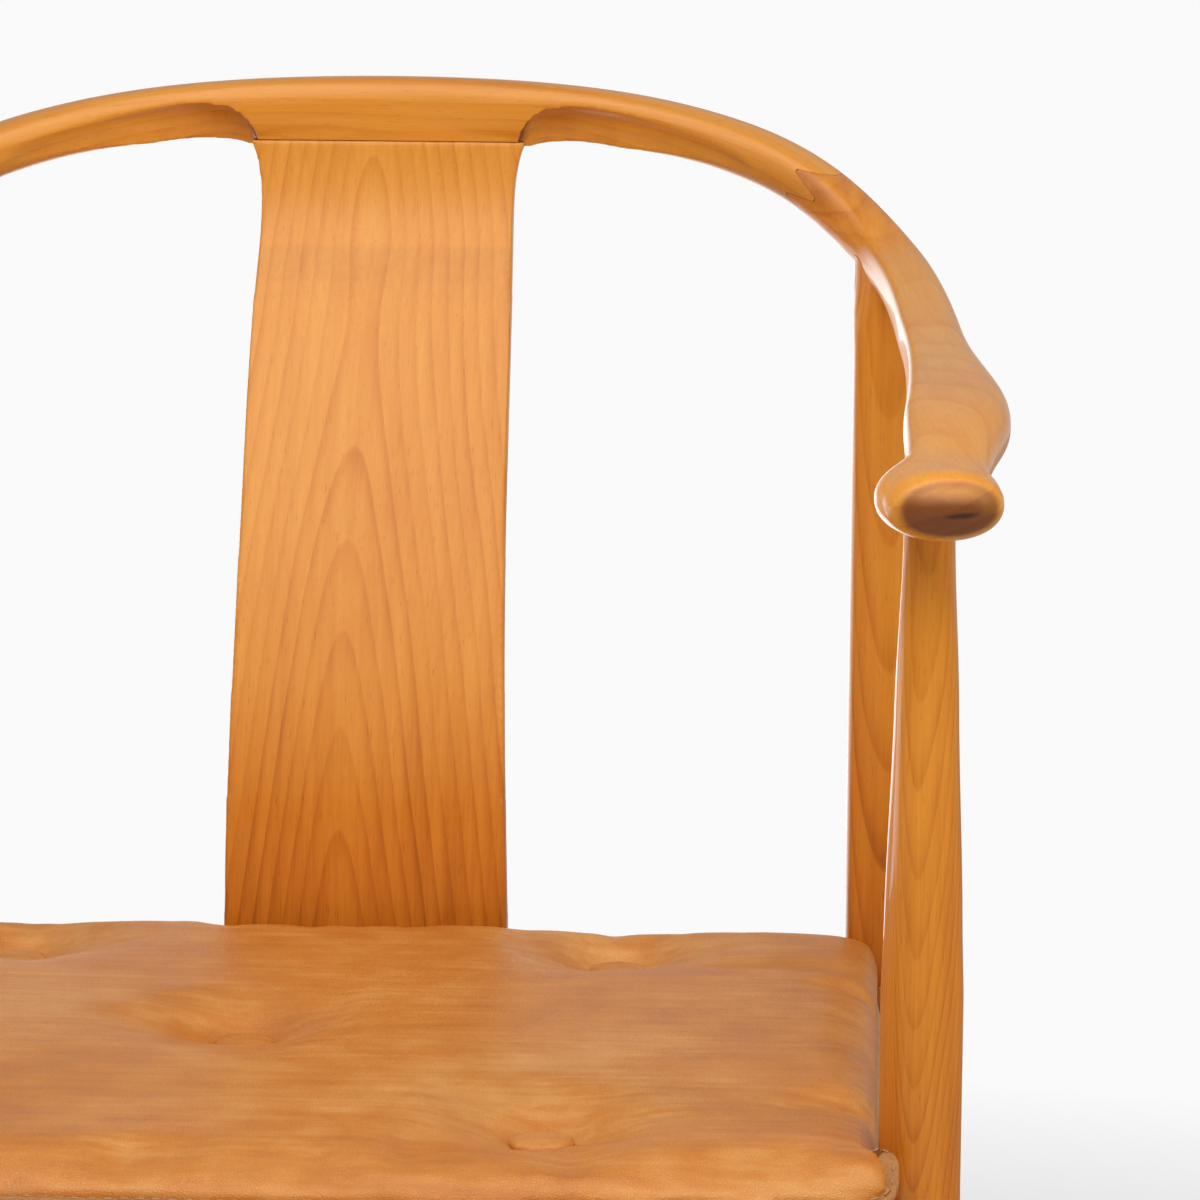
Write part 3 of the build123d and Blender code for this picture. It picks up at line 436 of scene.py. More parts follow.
# ------------------------ corner blocks
# Beech offcuts glued and screwed across the corners of the seat frame, which they brace.
# They are left bare, with their edges eased.
beech = Finish("bare_beech")
fleck = ((beech.noise(beech.stretched(beech.place, (1, 1, 0.12)), 700.0, 1.0) - 0.6) * 7.0).clip()
beech_cloud = beech.noise(beech.stretched(beech.place, (1, 0.4, 1)), 60.0, 3.0)
beech_colour = beech.ramp(beech_cloud, [(0.25, (0.60, 0.40, 0.23)), (0.75, (0.50, 0.31, 0.17))])
beech.coat(beech.mix(fleck * 0.6, beech_colour, (0.30, 0.16, 0.08)), 0.62,
           beech_cloud + fleck * 0.5, 0.3, 0.0003)
for corner in ("front_right", "front_left", "rear_right", "rear_left"):
    dress("corner_block_" + corner, beech.material)
    plane_off("corner_block_" + corner, 0.0012, 3)

# ------------------------ seat panel
# Birch plywood with nine vent holes, screwed down under the cushion. Its plies show as
# bands on every edge.
ply_thickness = 0.0028
plywood = Finish("birch_plywood")
ply_up = plywood.along(plywood.facing, "Z")
ply_edge = (1 - ply_up * ply_up).clip()
ply_band = (((plywood.along(plywood.place, "Z") / ply_thickness).fract() - 0.5) * 8.0).clip()
ply_face = plywood.noise(plywood.stretched(plywood.place, (0.06, 1, 1)), 90.0, 4.0)
ply_colour = plywood.ramp(ply_face, [(0.25, (0.66, 0.47, 0.27)), (0.7, (0.55, 0.37, 0.19))])
plywood.coat(plywood.mix(ply_edge * ply_band * 0.7, ply_colour, (0.30, 0.17, 0.08)), 0.55,
             ply_face, 0.25, 0.0003)
panel = dress("seat_panel", plywood.material)
panel.modifiers.new("weld", "WELD").merge_threshold = same_point
panel_bevel = panel.modifiers.new("eased_edges", "BEVEL")
panel_bevel.width, panel_bevel.segments = 0.0008, 2
panel_bevel.limit_method, panel_bevel.angle_limit = "ANGLE", math.radians(50)

# ------------------------ splat
# One wide board of flat-sawn cherry, bent in side view, with nested arches up its face.
# It stands in the rear seat rail and is tongued into the crest.
splat_front = [(0.425, 0.142), (0.460, 0.1412), (0.495, 0.142), (0.570, 0.156), (0.650, 0.192),
               (0.735, 0.226), (0.791, 0.243)]  # height, place of the front face
splat_bend = [(factor, 0.0) for factor in np.polyfit(*np.array(splat_front).T, 4)]
# the splat is darker towards its bottom: painted shade where the cushion just below it shades the board
dress("back_splat", cherry("back_splat_cherry", grain=(0.012, 0.0, 1), pith=(-0.004, 0.0130, 0.60),
                           taper=0.12, ring=0.0068, tone=-0.16, figure=0.9, lines=0.46,
                           darker=("Z", 0.56, -0.12, 0.42), bend=splat_bend))
plane_off("back_splat", 0.0012, 2)

# ------------------------ horseshoe rail
# Crest and both arms: three lengths of bent and carved cherry, finger-jointed beside the
# rear legs. The crest is squared where the splat meets it and hollowed under its front
# edge on either side; each arm swells towards the front and ends in a knob.
rail_anchors = np.array([  # x, y, z of the middle, width, height, squareness
    (0.0000, 0.2590, 0.8052, 0.0320, 0.0296, 3.4),
    (0.1580, 0.2150, 0.7922, 0.0275, 0.0236, 2.4),
    (0.1980, 0.1860, 0.7747, 0.0268, 0.0232, 2.3),
    (0.2300, 0.1480, 0.7472, 0.0256, 0.0224, 2.3),
    (0.2380, 0.1190, 0.7388, 0.0256, 0.0224, 2.3),
    (0.2484, 0.0280, 0.7215, 0.0268, 0.0234, 2.4),
    (0.2570, -0.1400, 0.7060, 0.0410, 0.0260, 2.5),
    (0.2520, -0.2150, 0.6970, 0.0320, 0.0230, 2.3),
    (0.2490, -0.2451, 0.6917, 0.0464, 0.0268, 2.2),
    (0.2535, -0.2711, 0.6917, 0.0430, 0.0260, 2.2)])
# more points of its middle line, each after one of those stations
rail_more = [(0, (0.0281, 0.2580, 0.8051)), (0, (0.0561, 0.2548, 0.8047)), (0, (0.0836, 0.2488, 0.8036)),
             (0, (0.1101, 0.2399, 0.8014)), (0, (0.1354, 0.2282, 0.7976)), (5, (0.2551, -0.0623, 0.7119)),
             (6, (0.2542, -0.1884, 0.7010))]
arris = np.array([0.0, 0.2, 1.0, 2.2, 2.6, 2.8, 2.4, 0.4, 0.0, 0.0])  # crisper upper inner corner
rail_steps, rail_round = 620, 84


def run_through(points, first, last, steps):
    """Smooth curve through the points: places, knots and the run of each place."""
    gaps = np.linalg.norm(np.diff(points, axis=0), axis=1)
    knots = np.concatenate([[0], np.cumsum(gaps)])
    count = len(points)
    matrix, right = np.zeros((count, count)), np.zeros_like(points)
    matrix[0, 0] = matrix[-1, -1] = 1
    right[0] = np.array(first) / np.linalg.norm(first)
    right[-1] = np.array(last) / np.linalg.norm(last)
    for k in range(1, count - 1):
        before, after = gaps[k - 1], gaps[k]
        matrix[k, k - 1:k + 2] = after, 2 * (before + after), before
        right[k] = 3 * (after * (points[k] - points[k - 1]) / before
                        + before * (points[k + 1] - points[k]) / after)
    slopes = np.linalg.solve(matrix, right)
    run = np.linspace(0, knots[-1], steps)
    k = np.clip(np.searchsorted(knots, run, side="right") - 1, 0, count - 2)
    h, t = gaps[k][:, None], ((run - knots[k]) / gaps[k])[:, None]
    places = ((2 * t**3 - 3 * t**2 + 1) * points[k] + (t**3 - 2 * t**2 + t) * h * slopes[k]
              + (3 * t**2 - 2 * t**3) * points[k + 1] + (t**3 - t**2) * h * slopes[k + 1])
    return places, knots, run


def level_blend(run, values, knots):
    """Values at the knots, joined by curves that are level at each of them."""
    k = np.clip(np.searchsorted(knots, run, side="right") - 1, 0, len(values) - 2)
    return values[k] + (values[k + 1] - values[k]) * ease((run - knots[k]) / (knots[k + 1] - knots[k]))


rail_line, station_at = [], []
for k, anchor in enumerate(rail_anchors):
    station_at.append(len(rail_line))
    rail_line += [anchor[:3]] + [point for after, point in rail_more if after == k]
centre, rail_knots, rail_run = run_through(np.array(rail_line), (1, 0, 0), (0.25, -1, 0), rail_steps)
forward = np.gradient(centre, axis=0)
forward /= np.linalg.norm(forward, axis=1)[:, None]
outward = np.cross((0, 0, 1.0), forward)
outward /= np.linalg.norm(outward, axis=1)[:, None]
upward = np.cross(forward, outward)
half_wide, half_high, square, crisp = (
    level_blend(rail_run, sizes, rail_knots[station_at])
    for sizes in (*(rail_anchors[:, 3:5].T / 2), rail_anchors[:, 5], arris))
# the knob's end turns in over a few millimetres to a flat oval
turn_in, turn_wide, turn_high, knob_dome = 0.0110, 0.0070, 0.0056, 0.0030
turned = 1 - np.sqrt(1 - np.clip(1 - (rail_run[-1] - rail_run) / turn_in, 0, 1)**2)
half_wide -= turn_wide * turned
half_high -= turn_high * turned
angle = np.linspace(0, 2 * np.pi, rail_round, endpoint=False)
upper_inner = np.clip(-np.cos(angle), 0, 1) * np.clip(np.sin(angle), 0, 1) * 2
half_rail = []
for k in range(rail_steps):
    power = 2 / (square[k] + crisp[k] * upper_inner)
    across = half_wide[k] * squared(np.cos(angle), power)
    up = half_high[k] * squared(np.sin(angle), power)
    half_rail.append(centre[k] + across[:, None] * outward[k] + up[:, None] * upward[k])
rail = tube("rail", [ring * (-1, 1, 1) for ring in half_rail[:0:-1]] + half_rail, dome=knob_dome)


def box_piece(name, low, high):
    corners = [(x, y, z) for x in (low[0], high[0]) for y in (low[1], high[1]) for z in (low[2], high[2])]
    faces = [(0, 1, 3, 2), (4, 6, 7, 5), (0, 4, 5, 1), (2, 3, 7, 6), (0, 2, 6, 4), (1, 5, 7, 3)]
    return new_piece(name, corners, faces)


def prism(name, places):
    """A solid between two like outlines, given one after the other."""
    count = len(places) // 2
    ends = [tuple(range(count)), tuple(range(2 * count - 1, count - 1, -1))]
    return new_piece(name, places, ring_faces(2, count) + ends)


# neck: squared front and flat underside where the splat comes up
neck_half, neck_front, neck_deep, neck_web, neck_top = 0.076, 0.243, 0.016, 0.787, 0.8058
neck = box_piece("neck", (-neck_half, neck_front, neck_web), (neck_half, neck_front + neck_deep, neck_top))
cut(rail, neck, "UNION")
# a ball-ended hollow on either side, growing shallow as it follows the rail
hollow_along = [0.0, 0.25, 0.5, 0.75, 1.0]
hollow_inward = [0.0097, 0.0178, 0.0238, 0.0283, 0.0320]
hollow_upward = [-0.0133, -0.0110, -0.0075, -0.0045, -0.0030]
hollow_wide = [0.0106, 0.0120, 0.0140, 0.0160, 0.0170]
hollow_high = [0.0176, 0.0160, 0.0145, 0.0130, 0.0120]
hollow_from, hollow_to, hollow_round = 0.080, 0.195, 96
inside = [k for k in range(rail_steps) if hollow_from <= centre[k][0] <= hollow_to][::2]
around = np.linspace(0, 2 * np.pi, hollow_round, endpoint=False)
ball = [(inside[0], math.sin(a), hollow_high[0] * math.cos(a)) for a in np.linspace(0.06, 1.5, 16)]
hollow_rings = []
for k, share, back in ball + [(k, 1.0, 0.0) for k in inside]:
    along = (centre[k][0] - hollow_from) / (hollow_to - hollow_from)
    inward, lift, wide, high = (np.interp(along, hollow_along, sizes) for sizes in
                                (hollow_inward, hollow_upward, hollow_wide, hollow_high))
    middle = centre[k] - outward[k] * inward + upward[k] * lift - forward[k] * back
    hollow_rings.append(middle - np.cos(around)[:, None] * outward[k] * wide * share
                        + np.sin(around)[:, None] * upward[k] * high * share)
for side in (1, -1):
    gouge = tube("gouge", [ring * (side, 1, 1) for ring in hollow_rings])
    cut(rail, gouge, "DIFFERENCE")
# the flat underside is faired into the round of the rail on either side
fairing = [(0.0622, 0.7910), (0.0623, 0.7882), (0.065, 0.7888), (0.069, 0.7899), (0.074, 0.7906),
           (0.080, 0.7910), (0.088, 0.7912), (0.096, 0.7907), (0.104, 0.7897), (0.112, 0.7882),
           (0.124, 0.7850), (0.140, 0.7780)]
fairing_floor, fairing_front, fairing_back = 0.75, 0.15, 0.4
profile = [(-x, z) for x, z in fairing[::-1]] + fairing
profile += [(side * fairing[-1][0], fairing_floor) for side in (1, -1)]
under = prism("under", [(x, y, z) for y in (fairing_front, fairing_back) for x, z in profile])
cut(rail, under, "DIFFERENCE")
# scraping and sanding takes every edge back a little
remesh = rail.modifiers.new("even", "REMESH")
remesh.mode, remesh.voxel_size = "VOXEL", 0.0010
sand = rail.modifiers.new("sand", "SMOOTH")
sand.factor, sand.iterations = 0.5, 5
settle(rail)
# The finger joint: a zigzag cut square across the rail, its fingers' tips rounded.
finger, finger_pitch, tip, finger_shift, glue_line = 0.016, 0.012, 0.0009, 0.001, 0.0005
joint_at = Vector((0.199715, 0.184583, 0.773583))
joint_along = Vector((0.684398, -0.569335, -0.455474))
joint_out = Vector((0, 0, 1)).cross(joint_along).normalized()
joint_up = joint_along.cross(joint_out)
saw_low, saw_high, saw_deep, saw_far, saw_half = -0.2, 0.2, -0.6, 0.9, 0.4
zigzag = [(0, saw_low)]
for k in range(-2, 3):
    for hand, height in ((1, finger_shift + finger_pitch * k), (-1, finger_shift + finger_pitch * (k + 0.5))):
        for a in (-1.2, -0.6, 0, 0.6, 1.2):
            zigzag.append((hand * (finger / 2 - tip + tip * math.cos(a)), height + tip * math.sin(a)))
zigzag += [(0, saw_high), (saw_far, saw_high), (saw_far, saw_deep), (0, saw_deep)]
saw_places = [joint_at + joint_along * x + joint_up * y + joint_out * reach
              for reach in (-saw_half, saw_half) for x, y in zigzag]
arms = {}
for hand, side in (("right", 1), ("left", -1)):
    saw = prism("saw", [(p[0] * side, p[1], p[2]) for p in saw_places])
    arm = bpy.data.objects.new("arm_%s_carved" % hand, rail.data.copy())
    bpy.context.collection.objects.link(arm)
    arms[hand] = cut(arm, saw, "INTERSECT", keep=True)
    back_off = joint_along * -glue_line
    saw.data.transform(Matrix.Translation((back_off[0] * side, back_off[1], back_off[2])))
    cut(rail, saw, "DIFFERENCE")
rail.name = "crest_carved"
# the crest's grain follows its bend: back and up as polynomials along x
crest_line = np.array([point * (hand, 1, 1) for point in centre if point[0] < 0.21 for hand in (1, -1)])
crest_bend = list(zip(*(np.polyfit(crest_line[:, 0], crest_line[:, axis], 6) for axis in (1, 2))))
arm_look = {"ring": 0.0080, "tone": -0.20, "lines": 0.3, "darker": ("Y", 0.10, 0.07, 0.36)}
rail_woods = {
    "crest_rail": (rail, cherry("crest_cherry", grain=(1, 0.006, 0.010), across=(0, 1, 0),
                                pith=(0.05, 0.030, -0.045), taper=0.02, ring=0.0050, tone=-0.14,
                                lines=0.34, bend_axis="X", bend=crest_bend)),
    "arm_right": (arms["right"], cherry("arm_right_cherry", grain=(0.17, -0.95, -0.22),
                                        pith=(0.262, 0.0, 0.655), taper=0.035,
                                        check=(0.2575, -0.2725, 0.6890), **arm_look)),
    "arm_left": (arms["left"], cherry("arm_left_cherry", grain=(-0.19, -0.95, -0.2),
                                      pith=(-0.255, 0.0, 0.648), taper=0.03, **arm_look))}
for node, (piece, wood) in rail_woods.items():
    hard_edges(piece, 35)
    piece.data.materials.clear()
    piece.data.materials.append(wood)
    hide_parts(node)
    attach(piece, "frame")

# ------------------------ seat hardware and glides
# Countersunk steel screws hold the panel and the corner blocks; a turned plastic glide is
# nailed under each leg.
steel = Finish("zinced_steel")
scratch = steel.noise(steel.stretched(steel.place, (1, 1, 0.3)), 1800.0, 3.0, 0.6)
steel.coat(steel.ramp(scratch, [(0.2, (0.48, 0.47, 0.44)), (0.8, (0.62, 0.61, 0.58))]),
           0.3 + scratch * 0.2, scratch, 0.2, 0.0001)
steel.feed(steel.skin, {"Metallic": 1.0})
for node in ("seat_panel_screws", "corner_block_screws"):
    dress(node, steel.material)
glide = Finish("glide_plastic")
scuff = glide.noise(glide.place, 900.0, 4.0, 0.65)
glide.coat(glide.ramp(scuff, [(0.3, (0.055, 0.042, 0.034)), (0.75, (0.10, 0.08, 0.065))]),
           0.4 + scuff * 0.3, scuff, 0.3, 0.0002)
dress("leg_glides", glide.material)

# ------------------------ seat cushion
# Two skins of vegetable-tanned leather sewn together round a felt pad and pulled down by
# five buttons. The seam stands out as a raw edge all round; the leather swells from it.
outline_side, outline_nose, nose_y = 0.2312, 0.239, -0.2322
nose_line = [(0.2340, -0.2334), (0.2370, -0.2390), (0.2388, -0.2460)]
outline_back, outline_front, front_bow = 0.137, -0.281, 0.019
back_round, front_round = 0.024, 0.012
seat_top, skin_top, seam_height = 0.4253, 0.4500, 0.4312
# y and rise of the seam where it is pushed up round the front legs
nose_rise = [(-0.264, 0.0), (-0.258, 0.003), (-0.252, 0.0080), (-0.246, 0.0118), (-0.240, 0.0135),
             (-0.2345, 0.0128), (-0.231, 0.0)]
flange_side, flange_front = 0.0003, 0.0032  # how far the raw edge stands out of the seam
buttons = [(-0.1485, 0.100), (0.1165, 0.100), (-0.029, -0.048), (-0.1615, -0.196), (0.1035, -0.196)]


def cushion_plan():
    """Points round the cushion: from the middle of the back by the right side to the front, and on."""
    corner = (outline_side - back_round, outline_back - back_round)
    right = [(corner[0] + back_round * math.cos(a), corner[1] + back_round * math.sin(a))
             for a in np.radians(np.linspace(90, 0, 16))]
    right += [(outline_side, y) for y in np.linspace(corner[1] - 0.01, nose_y, 36)] + nose_line
    corner = (outline_nose - front_round, outline_front + front_bow + front_round - 0.002)
    right += [(corner[0] + front_round * math.cos(a), corner[1] + front_round * math.sin(a))
              for a in np.radians(np.linspace(0, -82, 10))]
    right += [(x, outline_front + front_bow * (x / outline_nose) ** 2)
              for x in np.linspace(corner[0] - 0.006, 0.0, 30)]
    return [(0.0, outline_back)] + right + [(-x, y) for x, y in right[-2::-1]]


def even_loop(points, spacing):
    """The same closed line with points at even steps."""
    loop = np.array(points + [points[0]])
    run = np.concatenate([[0], np.cumsum(np.linalg.norm(np.diff(loop, axis=0), axis=1))])
    at = np.linspace(0, run[-1], int(run[-1] / spacing), endpoint=False)
    return np.stack([np.interp(at, run, loop[:, i]) for i in range(2)], axis=1)


def seam_inset(line):
    """How far inside the outline the seam lies: more round the nose than beside the legs."""
    return flange_side + (flange_front - flange_side) * ease((nose_y + 0.002 - line[:, 1]) / 0.012)


def seam_level(line):
    """Height of the seam, which is pushed up where it comes round the front legs."""
    return seam_height + np.interp(line[:, 1], *zip(*nose_rise)) * (np.abs(line[:, 0]) > 0.20)


def inside_edge(line, inset):
    """The outline drawn in by a different amount at each of its points."""
    step = np.roll(line, -1, axis=0) - np.roll(line, 1, axis=0)
    step /= np.linalg.norm(step, axis=1)[:, None]
    inward = np.column_stack([-step[:, 1], step[:, 0]])
    inward *= np.where((inward * (line - line.mean(axis=0))).sum(axis=1) > 0, -1, 1)[:, None]
    return line + inward * np.asarray(inset)[:, None]


outline = even_loop(cushion_plan(), 0.004)
seam_line = inside_edge(outline, seam_inset(outline))
seam_up = seam_level(seam_line)


def edge_reach(points):
    """How far points of the cushion lie inside its seam."""
    reach = np.full(len(points), 1e9)
    for x, y in seam_line:
        reach = np.minimum(reach, (points[:, 0] - x) ** 2 + (points[:, 1] - y) ** 2)
    return np.sqrt(reach)


# how far in from the seam the leather has risen: short beside the frame, long at the front
swell_side, swell_back, swell_front = 0.0095, 0.014, 0.036
seam_off = np.abs(seam_line[:, 0])
between_legs = np.clip((0.115 - np.abs(seam_line[:, 1] + 0.06)) / 0.03 + 1.2, 0, 1)
beside = np.maximum(between_legs * (seam_off > 0.21), seam_off > 0.2285)
at_front = np.clip((-0.20 - seam_line[:, 1]) / 0.03, 0, 1) * np.clip((0.230 - seam_off) / 0.02, 0, 1)
swell = swell_back + (swell_side - swell_back) * beside
swell += (swell_front - swell) * ease(at_front)
# the crown is lower at the front, drawn in at two puckers and pulled down at each button
skin_half, crown_room, front_fall = 0.0008, 0.0010, 0.0025
pucker_at, pucker_deep, pucker_long, pucker_reach = (-0.168, 0.022), 0.009, 0.008, 0.017
button_floor, button_forward, button_flat = 0.4352, 0.006, 0.009
pull_near, pull_far = 0.014, 0.034
shares = np.concatenate([np.linspace(0, 0.10, 9), np.linspace(0.12, 1, 34)])
lower_skin, upper_skin = [], []
for share in shares:
    flat = seam_line * (1 - share * 0.999)
    reach = edge_reach(flat) if share else np.zeros(len(flat))
    rise = np.sqrt(np.clip(1 - (1 - np.clip(reach / swell, 0, 1)) ** 2, 0, 1))
    crown = skin_top - crown_room - front_fall * ease((-0.10 - flat[:, 1]) / 0.12)
    for pucker in pucker_at:
        crown -= pucker_deep * np.exp(-((flat[:, 1] - pucker) / pucker_long) ** 2
                                      - (reach / pucker_reach) ** 2)
    upper = seam_up + skin_half + (crown - skin_half - seam_up) * rise
    for bx, by in buttons:
        past = flat[:, 1] - by + button_forward
        away = np.clip(np.hypot(flat[:, 0] - bx, past) - button_flat, 0, None)
        wide = 0.40 - 0.38 * np.clip(past / 0.04 + 0.3, 0, 1)
        pull = (1 - wide) * np.exp(-(away / pull_near) ** 2) + wide * np.exp(-(away / pull_far) ** 2)
        upper -= (upper - button_floor) * pull
    lower = seam_up - skin_half - (seam_up - skin_half - seat_top) * rise
    lower_skin.append(np.column_stack([flat, lower]))
    upper_skin.append(np.column_stack([flat, upper]))
pad = tube("cushion_leather", lower_skin + upper_skin[::-1])
even = pad.modifiers.new("even", "REMESH")
even.mode, even.voxel_size = "VOXEL", 0.0045
settle(pad)
rest = np.array([v.co for v in pad.data.vertices])
# the leather is blown up a little between the seam and the buttons, which hold it
hold = np.clip(1 - edge_reach(rest) / 0.006, 0, 1)
for bx, by in buttons:
    hold = np.maximum(hold, np.clip(2.2 - np.hypot(rest[:, 0] - bx, rest[:, 1] - by + button_forward)
                                    / 0.010, 0, 1))
hold = np.maximum(hold, np.where(rest[:, 2] < seat_top + 0.0012, 1.0, 0.0))
pins = pad.vertex_groups.new(name="sewn")
for index, weight in enumerate(hold):
    if weight > 0:
        pins.add([index], float(weight), "REPLACE")
cloth = pad.modifiers.new("cloth", "CLOTH")
leather_set = cloth.settings
leather_set.quality = 6
leather_set.mass = 0.6
leather_set.tension_stiffness = leather_set.compression_stiffness = 25
leather_set.shear_stiffness = 8
leather_set.bending_stiffness = 8.0
leather_set.use_pressure = True
leather_set.uniform_pressure_force = 3.0
leather_set.shrink_min = -0.012
leather_set.vertex_group_mass = "sewn"
leather_set.effector_weights.gravity = 0
cloth.point_cache.frame_end = 22
for frame_number in range(1, 21):
    bpy.context.scene.frame_set(frame_number)
blown = pad.evaluated_get(bpy.context.evaluated_depsgraph_get()).to_mesh()
moved = np.array([v.co for v in blown.vertices]) - rest
pad.modifiers.clear()
bpy.context.scene.frame_set(1)
travel = np.linalg.norm(moved, axis=1)
nearest = np.min([np.hypot(rest[:, 0] - bx, rest[:, 1] - by) for bx, by in buttons], axis=0)
most = 0.0024 * np.clip(nearest / 0.035, 0.3, 1)
moved *= (np.minimum(travel, most) / np.maximum(travel, 1e-9))[:, None]
rest = rest + moved
# the leather rests flat on the seat and clears the legs
leg_half, leg_clear, rear_leg_clear, rear_leg_inner = 0.0172, 0.2306, 0.1318, 0.213
rest[:, 2] = np.clip(rest[:, 2], seat_top, skin_top + 0.0015)
by_leg = np.abs(rest[:, 1] - front_leg_y) < leg_half
widest = np.where(rest[:, 1] > nose_y - 0.001, np.where(by_leg, leg_clear, outline_side),
                  outline_nose - 0.001)
rest[:, 0] = np.clip(rest[:, 0], -widest, widest)
rear_limit = np.where(np.abs(rest[:, 0]) > rear_leg_inner, rear_leg_clear, outline_back - 0.001)
rest[:, 1] = np.clip(rest[:, 1], outline_front + 0.001, rear_limit)
pad.data.vertices.foreach_set("co", rest.astype(np.float32).ravel())
pad.data.update()
smooth = pad.modifiers.new("ease", "SMOOTH")
smooth.factor, smooth.iterations = 0.5, 2
fine = pad.modifiers.new("fine", "SUBSURF")
fine.levels = fine.render_levels = 1
settle(pad)

leather = Finish("natural_leather")
hide = leather.place
tan_sway = leather.noise(hide, 7.0, 3.0)
blotch = leather.noise(hide, 38.0, 4.0, 0.55)
stretch_mark = leather.noise(leather.stretched(hide, (0.08, 1, 1)), 210.0, 3.0, 0.6)
cells = leather.node("ShaderNodeTexVoronoi", {"feature": "DISTANCE_TO_EDGE"},
                     {"Vector": hide, "Scale": 900.0})
hide_grain = (Level(leather, cells.outputs[0]) * 3.2).clip()
crease = leather.noise(leather.stretched(hide, (0.5, 1, 1)), 95.0, 5.0, 0.7)
worn = ((crease - 0.56) * 7.0).clip()
tan = leather.ramp((tan_sway * 0.5 + blotch * 0.3 + stretch_mark * 0.3 - 0.05).clip(),
                   [(0.30, (0.48, 0.135, 0.014)), (0.5, (0.660, 0.240, 0.036)), (0.70, (0.82, 0.420, 0.125))])
tan = leather.mix(worn * 0.18, tan, (0.36, 0.095, 0.012))
leather.coat(leather.mix((1 - hide_grain) * 0.2, tan, (0.30, 0.08, 0.010)),
             0.30 + (1 - hide_grain) * 0.15 + (blotch - 0.5) * 0.16,
             hide_grain * 0.45 + blotch * 0.5 + stretch_mark * 0.5 + crease * 1.0, 0.42, 0.0007)
leather.feed(leather.skin, {"Specular IOR Level": 0.5})
pad.data.shade_smooth()
pad.data.materials.clear()
pad.data.materials.append(leather.material)
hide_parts("cushion_cover", "cushion_core")
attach(pad, "cushion")

# The raw edge: both skins pressed together outside the stitches, cut square.
raw = Finish("cut_leather_edge")
hair = raw.noise(raw.stretched(raw.place, (1, 1, 0.25)), 1500.0, 4.0, 0.7)
raw_colour = raw.ramp((hair * 0.6 + raw.noise(raw.place, 60.0, 3.0) * 0.4).clip(),
                      [(0.3, (0.24, 0.08, 0.018)), (0.55, (0.44, 0.18, 0.050)), (0.8, (0.60, 0.30, 0.110))])
raw.coat(raw_colour, 0.62, hair, 0.5, 0.0005)
edge_thick, wave_high, wave_scale = 0.0032, 0.0007, 40
edge_tucked = 0.0045  # how much further in it lies where it does not stand out
edge_line = even_loop(cushion_plan(), 0.003)
deep = seam_inset(edge_line)
edge_line = inside_edge(edge_line, edge_tucked * (flange_front - deep) / (flange_front - flange_side))


def edge_wave(line):
    """The slight rise and fall of the edge."""
    return np.array([noise.noise(Vector((x * wave_scale, y * wave_scale, 0.3))) for x, y in line]) * wave_high


# share of the flange's depth, more depth, and height in edge thicknesses
edge_section = [(1, 0.0045, 0.0), (1, 0.002, 0.5), (0, 0.0006, 0.5), (0, 0.0, 0.3), (0, 0.0, -0.3),
                (0, 0.0006, -0.5), (1, 0.002, -0.5)]
edge_wander = edge_wave(edge_line)
edge_rings = [np.column_stack([inside_edge(edge_line, deep * share + more),
                               seam_level(edge_line) + edge_thick * lift + edge_wander])
              for share, more, lift in edge_section]
raw_edge = new_piece("cushion_raw_edge", np.vstack(edge_rings + edge_rings[:1]),
                     ring_faces(len(edge_rings) + 1, len(edge_line)))
hard_edges(raw_edge, 50)
raw_edge.data.materials.append(raw.material)
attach(raw_edge, "cushion")

# ------------------------ cushion stitches
# Waxed thread, saddle-stitched round the cushion close inside its raw edge. Each stitch
# shows as one bead on the upper skin.
thread = Finish("waxed_thread")
twist = thread.noise(thread.place, 2600.0, 2.0)
thread.coat(thread.ramp(twist, [(0.3, (0.30, 0.15, 0.06)), (0.7, (0.48, 0.27, 0.12))]), 0.5,
            twist, 0.3, 0.0002)


def grow_nodes(name, inputs, build):
    """A Geometry Nodes tree with named inputs; `build` adds its nodes and returns the last one."""
    tree = bpy.data.node_groups.new(name, "GeometryNodeTree")
    tree.interface.new_socket("Geometry", in_out="INPUT", socket_type="NodeSocketGeometry")
    for key, kind in inputs.items():
        tree.interface.new_socket(key, in_out="INPUT", socket_type=kind)
    tree.interface.new_socket("Geometry", in_out="OUTPUT", socket_type="NodeSocketGeometry")
    given = tree.nodes.new("NodeGroupInput")
    result = tree.nodes.new("NodeGroupOutput")

    def add(kind, settings=None, sockets=None):
        made = tree.nodes.new(kind)
        for key, value in (settings or {}).items():
            setattr(made, key, value)
        for key, value in (sockets or {}).items():
            if isinstance(value, bpy.types.NodeSocket):
                tree.links.new(value, made.inputs[key])
            else:
                made.inputs[key].default_value = value
        return made

    whole = add("GeometryNodeRealizeInstances", {}, {"Geometry": build(add, given.outputs)})
    painted = add("GeometryNodeSetMaterial", {}, {"Geometry": whole.outputs[0],
                                                  "Material": given.outputs["Material"]})
    tree.links.new(painted.outputs[0], result.inputs[0])
    return tree


def run_nodes(piece, tree, **values):
    """Set the tree's inputs by their identifiers, evaluate it and keep the plain mesh."""
    step = piece.modifiers.new(tree.name, "NODES")
    step.node_group = tree
    for socket in tree.interface.items_tree:
        if socket.in_out == "INPUT" and socket.name in values:
            step[socket.identifier] = values[socket.name]
    return settle(piece)


